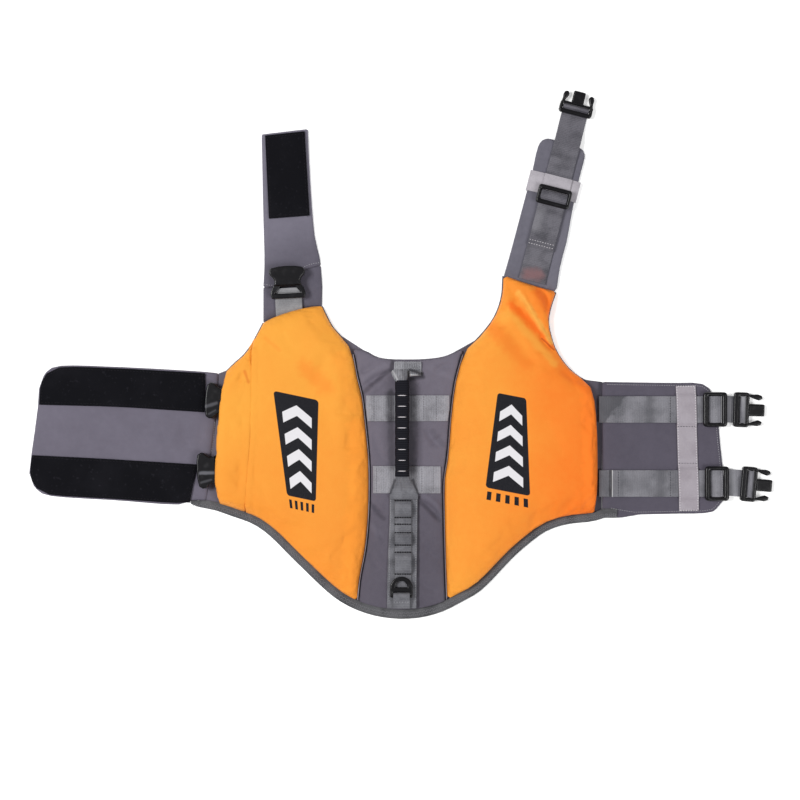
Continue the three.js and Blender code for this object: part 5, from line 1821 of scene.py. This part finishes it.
@dataclass
class RightNeck(Assembly):
    """The neck pad, its webbing, slide, elastic and male buckle."""

    folds: tuple[Crease, ...] = creases(
        (104, 214, 112, 250, 3.0, -0.5), (146, 212, 152, 240, 3.0, -0.6), (106, 196, 112, 208, 2.6, -0.4),
        (150, 254, 156, 262, 2.6, -0.4), (124, 292, 132, 312, 2.8, -0.4), (160, 296, 164, 306, 2.4, -0.4),
    )

    def pieces(self) -> list[Piece]:
        """The pad's pieces."""
        on_pad, step, root = ("neck_pad",), 0.9 * MM, (119, 183, NECK_TURN + 180, 2.5)
        return [
            ThinCloth("neck_pad", GREY_PAD, folds=self.folds, voxel=1.4 * MM, pad=0.5, tuck=root),
            Ribbon("neck_web_base", WEB_NECK, turn=NECK_TURN, rests_on=on_pad),
            Ribbon(
                "neck_web_double", WEB_NECK, turn=NECK_TURN, step=step, thick=WEB, crown=0.1 * MM,
                rests_on=("neck_web_base",),
            ),
            Ribbon("neck_web_run", WEB_NECK, turn=NECK_TURN, step=step, thick=WEB, rests_on=on_pad),
            Softened("neck_slide", ACETAL, swell=0.5 * MM),
            Softened("buckle_male_neck", ACETAL),
            FlatCloth("neck_elastic", ELASTIC, bevel=0.4 * MM, rests_on=on_pad, folded=True),
        ]


@dataclass
class RightBelly(Assembly):
    """The belly panel, its belts, keeper strip, slides and male buckles."""

    folds: tuple[Crease, ...] = creases(
        (262, 46, 268, 20, 4.0, -0.5), (282, 44, 288, 18, 4.0, -0.5), (200, 44, 226, 20, 5.0, -0.5),
        (232, 46, 250, 24, 5.0, -0.4), (206, 86, 230, 82, 3.0, -0.3), (268, -24, 288, -20, 3.0, -0.4),
    )

    def pieces(self) -> list[Piece]:
        """The panel's pieces."""
        on_panel, corner = ("belly_panel_right",), (186, -29, 36, 0, -5.8)
        pieces: list[Piece] = [
            ThinCloth("belly_panel_right", GREY_RIGHT, folds=self.folds, voxel=1.3 * MM, pull=corner),
            Ribbon("belt_web_end", WEB_ALONG_X, rests_on=on_panel),
            Ribbon("keeper_strip", KEEPER_TAPE, turn=91.55, step=1.0 * MM, thick=1.0 * MM, rests_on=on_panel),
        ]
        for side, turn in (("upper", -2.0), ("lower", -5.0)):
            pieces += [
                Ribbon(f"belt_web_{side}", WEB_ALONG_X, step=0.9 * MM, thick=WEB, rests_on=on_panel),
                Ribbon(
                    f"belt_run_{side}", WEB_ALONG_X, turn=turn, step=0.8 * MM, thick=WEB, rests_on=("floor",),
                ),
                Softened(f"slide_{side}", ACETAL, rounds=7, swell=0.75 * MM),
                Softened(f"buckle_male_{side}", ACETAL),
            ]
        return pieces


class Sewing:
    """All the stitches, laid on the soft pieces."""

    def __init__(self, frame: Frame, pieces: Sequence[Object]) -> None:
        """Keeps the frame and a search tree of the pieces that can be sewn."""
        self.frame = frame
        self.surface = tree_of(piece for piece in pieces if piece.data.materials[0].name != ACETAL.name)

    def inside(
        self, node: str, inset: float, start: tuple[float, float], end: tuple[float, float]
    ) -> np.ndarray:
        """A row inside a node's outline, counter-clockwise.

        Args:
            node: the node.
            inset: how far inside the row is.
            start: a place near its start, in millimetres.
            end: a place near its end, which is the start where the row goes all the way round.

        Returns:
            The row's places, in metres.
        """
        loop = self.frame.outline(node)
        first = int(np.argmin(np.linalg.norm(loop - np.array(start) * MM, axis=1)))
        loop = np.roll(loop, -first, axis=0)
        last = int(np.argmin(np.linalg.norm(loop - np.array(end) * MM, axis=1)))
        stretch = loop[: last + 1] if last > 0 else np.vstack([loop, loop[:1]])
        steps = np.concatenate([[0], np.cumsum(np.linalg.norm(np.diff(stretch, axis=0), axis=1))])
        at = np.arange(0, steps[-1], 2 * MM)
        path = np.column_stack([np.interp(at, steps, stretch[:, i]) for i in range(2)])
        tangent = np.gradient(path, axis=0)
        tangent /= np.linalg.norm(tangent, axis=1, keepdims=True)
        return path + inset * np.column_stack([-tangent[:, 1], tangent[:, 0]])

    def along_hem(self, share: float) -> np.ndarray:
        """A row along the hem binding, at a share of its width from the outside."""
        tree = self.frame.tree("hem_binding")
        low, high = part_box("hem_binding")
        row = []
        for x in np.arange(low.x + 3 * MM, high.x - 3 * MM, 2 * MM):
            outer = tree.ray_cast(Vector((x, -BESIDE, 0.4 * MM)), Vector((0, 1, 0)))[0]
            if outer is None:
                continue
            inner = tree.ray_cast(outer + Vector((0, 0.2 * MM, 0)), Vector((0, 1, 0)))[0]
            if inner is not None:
                row.append((x, outer.y + (inner.y - outer.y) * share))
        return np.array(row)

    def build(self) -> list[Object]:
        """Sews every row."""
        rows = [
            self.hem(), self.spine_edges(), self.loops(), self.bands(), self.grip_ticks(),
            self.keeper(), self.keeper_cross(), self.strap_seam(), self.pad_hem(), self.tapes(),
            self.belts(), self.flap_edge(),
        ]
        return [row.build(self.surface) for row in rows]

    def hem(self) -> Stitches:
        """The zigzag that holds the hem binding."""
        sewn = Stitches("stitches_hem", THREAD_HEM, Style.ZIGZAG)
        sewn.rows += [self.along_hem(0.62), self.along_hem(0.34)]
        return sewn

    def spine_edges(self) -> Stitches:
        """The rows along both edges of the spine strip, and across the tail."""
        sewn = Stitches("stitches_spine", THREAD_GREY, Style.FINE)
        sewn.line((-13.0, -112), (-12.4, -70), (-11.6, -35), (-11.4, -18))
        sewn.line((11.3, -112), (12.0, -70), (12.4, -35), (12.6, -18))
        return sewn.line((-8, -113), (5.4, -113)).line((-7, 104), (16, 104)).line((-7, 109), (16, 109))

    def loops(self) -> Stitches:
        """The rows across the loop webbing, at the foot of each loop."""
        sewn = Stitches("stitches_loops", THREAD_BLACK, Style.CLOSE)
        for y in (-19.0, -34.6, -41.0, -48.8, -60.2, -67.0, -87.2):
            sewn.line((-7.0, y), (7.4, y))
        return sewn

    def bands(self) -> Stitches:
        """The upright rows on the two bands."""
        sewn = Stitches("stitches_bands", THREAD_BAND, Style.FINE)
        for x, low, high in ((-27, 57, 78), (-11.5, 57, 78), (19, 57, 78), (31, 57, 78), (-24.5, -10, 11),
                             (17.5, -10, 11), (28, -10, 11)):
            sewn.line((x, low), (x, high))
        return sewn

    def grip_ticks(self) -> Stitches:
        """The eight light ticks across the grip."""
        sewn = Stitches("stitches_grip", THREAD_LIGHT, Style.TICK, crosswise=True)
        return sewn.line((-0.9, 78.6), (-0.9, 8.0))

    def keeper(self) -> Stitches:
        """The light rows round the keeper strip."""
        sewn = Stitches("stitches_keeper", THREAD_LIGHT, Style.BOLD)
        return sewn.line((258.3, -28.4), (255.2, 87.2), (271.9, 87.2), (275.0, -28.4), (258.3, -28.4))

    def keeper_cross(self) -> Stitches:
        """The two dark rows across the keeper strip."""
        sewn = Stitches("stitches_keeper_cross", THREAD_SHADE, Style.FINE)
        return sewn.line((256.6, 49.7), (272.8, 49.7)).line((257.6, 15.5), (273.8, 15.5))

    def strap_seam(self) -> Stitches:
        """The rows beside the slanted seam of the left neck strap."""
        sewn = Stitches("stitches_strap", THREAD_GREY, Style.FINE)
        sewn.line((-129, 182.4), (-124, 181.4), (-120, 181.6), (-115, 184))
        return sewn.line((-97, 195.2), (-91, 199.4), (-84, 201.6), (-78, 202.6))

    def pad_hem(self) -> Stitches:
        """The double row at the hemmed end of the neck webbing."""
        sewn = Stitches("stitches_pad", THREAD_LIGHT, Style.FINE)
        across, up = np.array(heading(NECK_TURN - 90)), np.array(heading(NECK_TURN))
        for rise in (36.0, 39.4):
            middle = np.array([119.0, 183.0]) + up * rise + across * 0.5
            sewn.line(tuple(middle - across * 11.4), tuple(middle + across * 11.4))
        return sewn

    def tapes(self) -> Stitches:
        """The rows round the hook-and-loop tapes and the patch."""
        sewn = Stitches("stitches_tapes", THREAD_DARK, Style.RUN)
        starts = {"flap_tape_upper": (-185, 99), "flap_tape_lower": (-192, 14), "neck_patch": (-87, 246)}
        for node, start in starts.items():
            sewn.rows.append(self.inside(node, 2.2 * MM, start, start))
        return sewn

    def belts(self) -> Stitches:
        """The rows across the starts of the belts and near the slides."""
        sewn = Stitches("stitches_belts", THREAD_SHADE, Style.FINE)
        for x, y in ((249, 65.6), (200.6, -3.4), (249, -3.4)):
            sewn.line((x, y - 11.2), (x, y + 11.2))
        return sewn

    def flap_edge(self) -> Stitches:
        """The rows along the free edges of the belly panel and of the root of the flap."""
        sewn = Stitches("stitches_edges", THREAD_GREY, Style.FINE)
        sewn.rows.append(self.inside("belly_panel_right", 2.0 * MM, (192, -28), (188, 91)))
        return sewn.line((-178.5, 27), (-176.8, 40), (-175.6, 54))


@dataclass
class Studio:
    """The camera straight above, the soft light and the pale floor."""

    frame_width: float = 744 * MM
    centre: tuple[float, float] = (-2.8 * MM, 74.4 * MM)
    height: float = 8 * MM
    lens: float = 85.0
    sensor: float = 36.0
    sky: float = 0.36

    def build(self) -> None:
        """Sets up the studio."""
        scene = bpy.context.scene
        scene.view_settings.view_transform = "Standard"
        self.add_camera(scene)
        self.add_light("key", (-2.3, 0.6, 3.1), 1.2, 121.0)
        self.add_light("fill", (2.0, -1.1, 2.9), 1.6, 60.0)
        world = bpy.data.worlds.new("studio")
        world.use_nodes = True
        sky = world.node_tree.nodes["Background"]
        sky.inputs["Color"].default_value = (1.0, 1.0, 1.0, 1.0)
        sky.inputs["Strength"].default_value = self.sky
        scene.world = world
        self.add_floor()

    def add_camera(self, scene: bpy.types.Scene) -> None:
        """Adds the camera, looking straight down."""
        data = bpy.data.cameras.new("camera")
        data.lens, data.sensor_width = self.lens, self.sensor
        camera = bpy.data.objects.new("camera", data)
        distance = self.frame_width * self.lens / self.sensor
        camera.location = (*self.centre, self.height + distance)
        scene.collection.objects.link(camera)
        scene.camera = camera

    def add_light(self, name: str, place: tuple[float, float, float], size: float, power: float) -> None:
        """Adds a square area light that faces the jacket."""
        data = bpy.data.lights.new(name, "AREA")
        data.size, data.energy = size, power
        light = bpy.data.objects.new(name, data)
        light.location = place
        light.rotation_euler = (Vector((0, 0.07, 0)) - light.location).to_track_quat("-Z", "Y").to_euler()
        bpy.context.scene.collection.objects.link(light)

    def add_floor(self) -> None:
        """Adds the floor, just below the jacket."""
        half, level = 3.0, -0.05 * MM
        mesh = bpy.data.meshes.new("floor")
        corners = [(-half, -half, level), (half, -half, level), (half, half, level), (-half, half, level)]
        mesh.from_pydata(corners, [], [(0, 1, 2, 3)])
        mesh.materials.append(Paper("floor_paper", "").material())
        add_object("floor", mesh)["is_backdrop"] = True


def corners(bounds: tuple[Vector, Vector]) -> list[list[float]]:
    """A box as plain lists of numbers."""
    return [[round(float(v), 6) for v in corner] for corner in bounds]


def main() -> None:
    """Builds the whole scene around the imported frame."""
    logging.basicConfig(level=logging.INFO, format="%(message)s", stream=sys.stdout)
    frame = Frame()
    cad_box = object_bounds()
    Studio().build()
    pieces: list[Object] = []
    for assembly in (BackPanels(), Spine(), LeftBelly(), LeftNeck(), RightNeck(), RightBelly()):
        pieces += assembly.build(frame)
    pieces += Sewing(frame, pieces).build()
    LOG.info("%d pieces", len(pieces))
    {"cad": corners(cad_box), "visual": corners(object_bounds())}


if __name__ == "__main__":
    main()
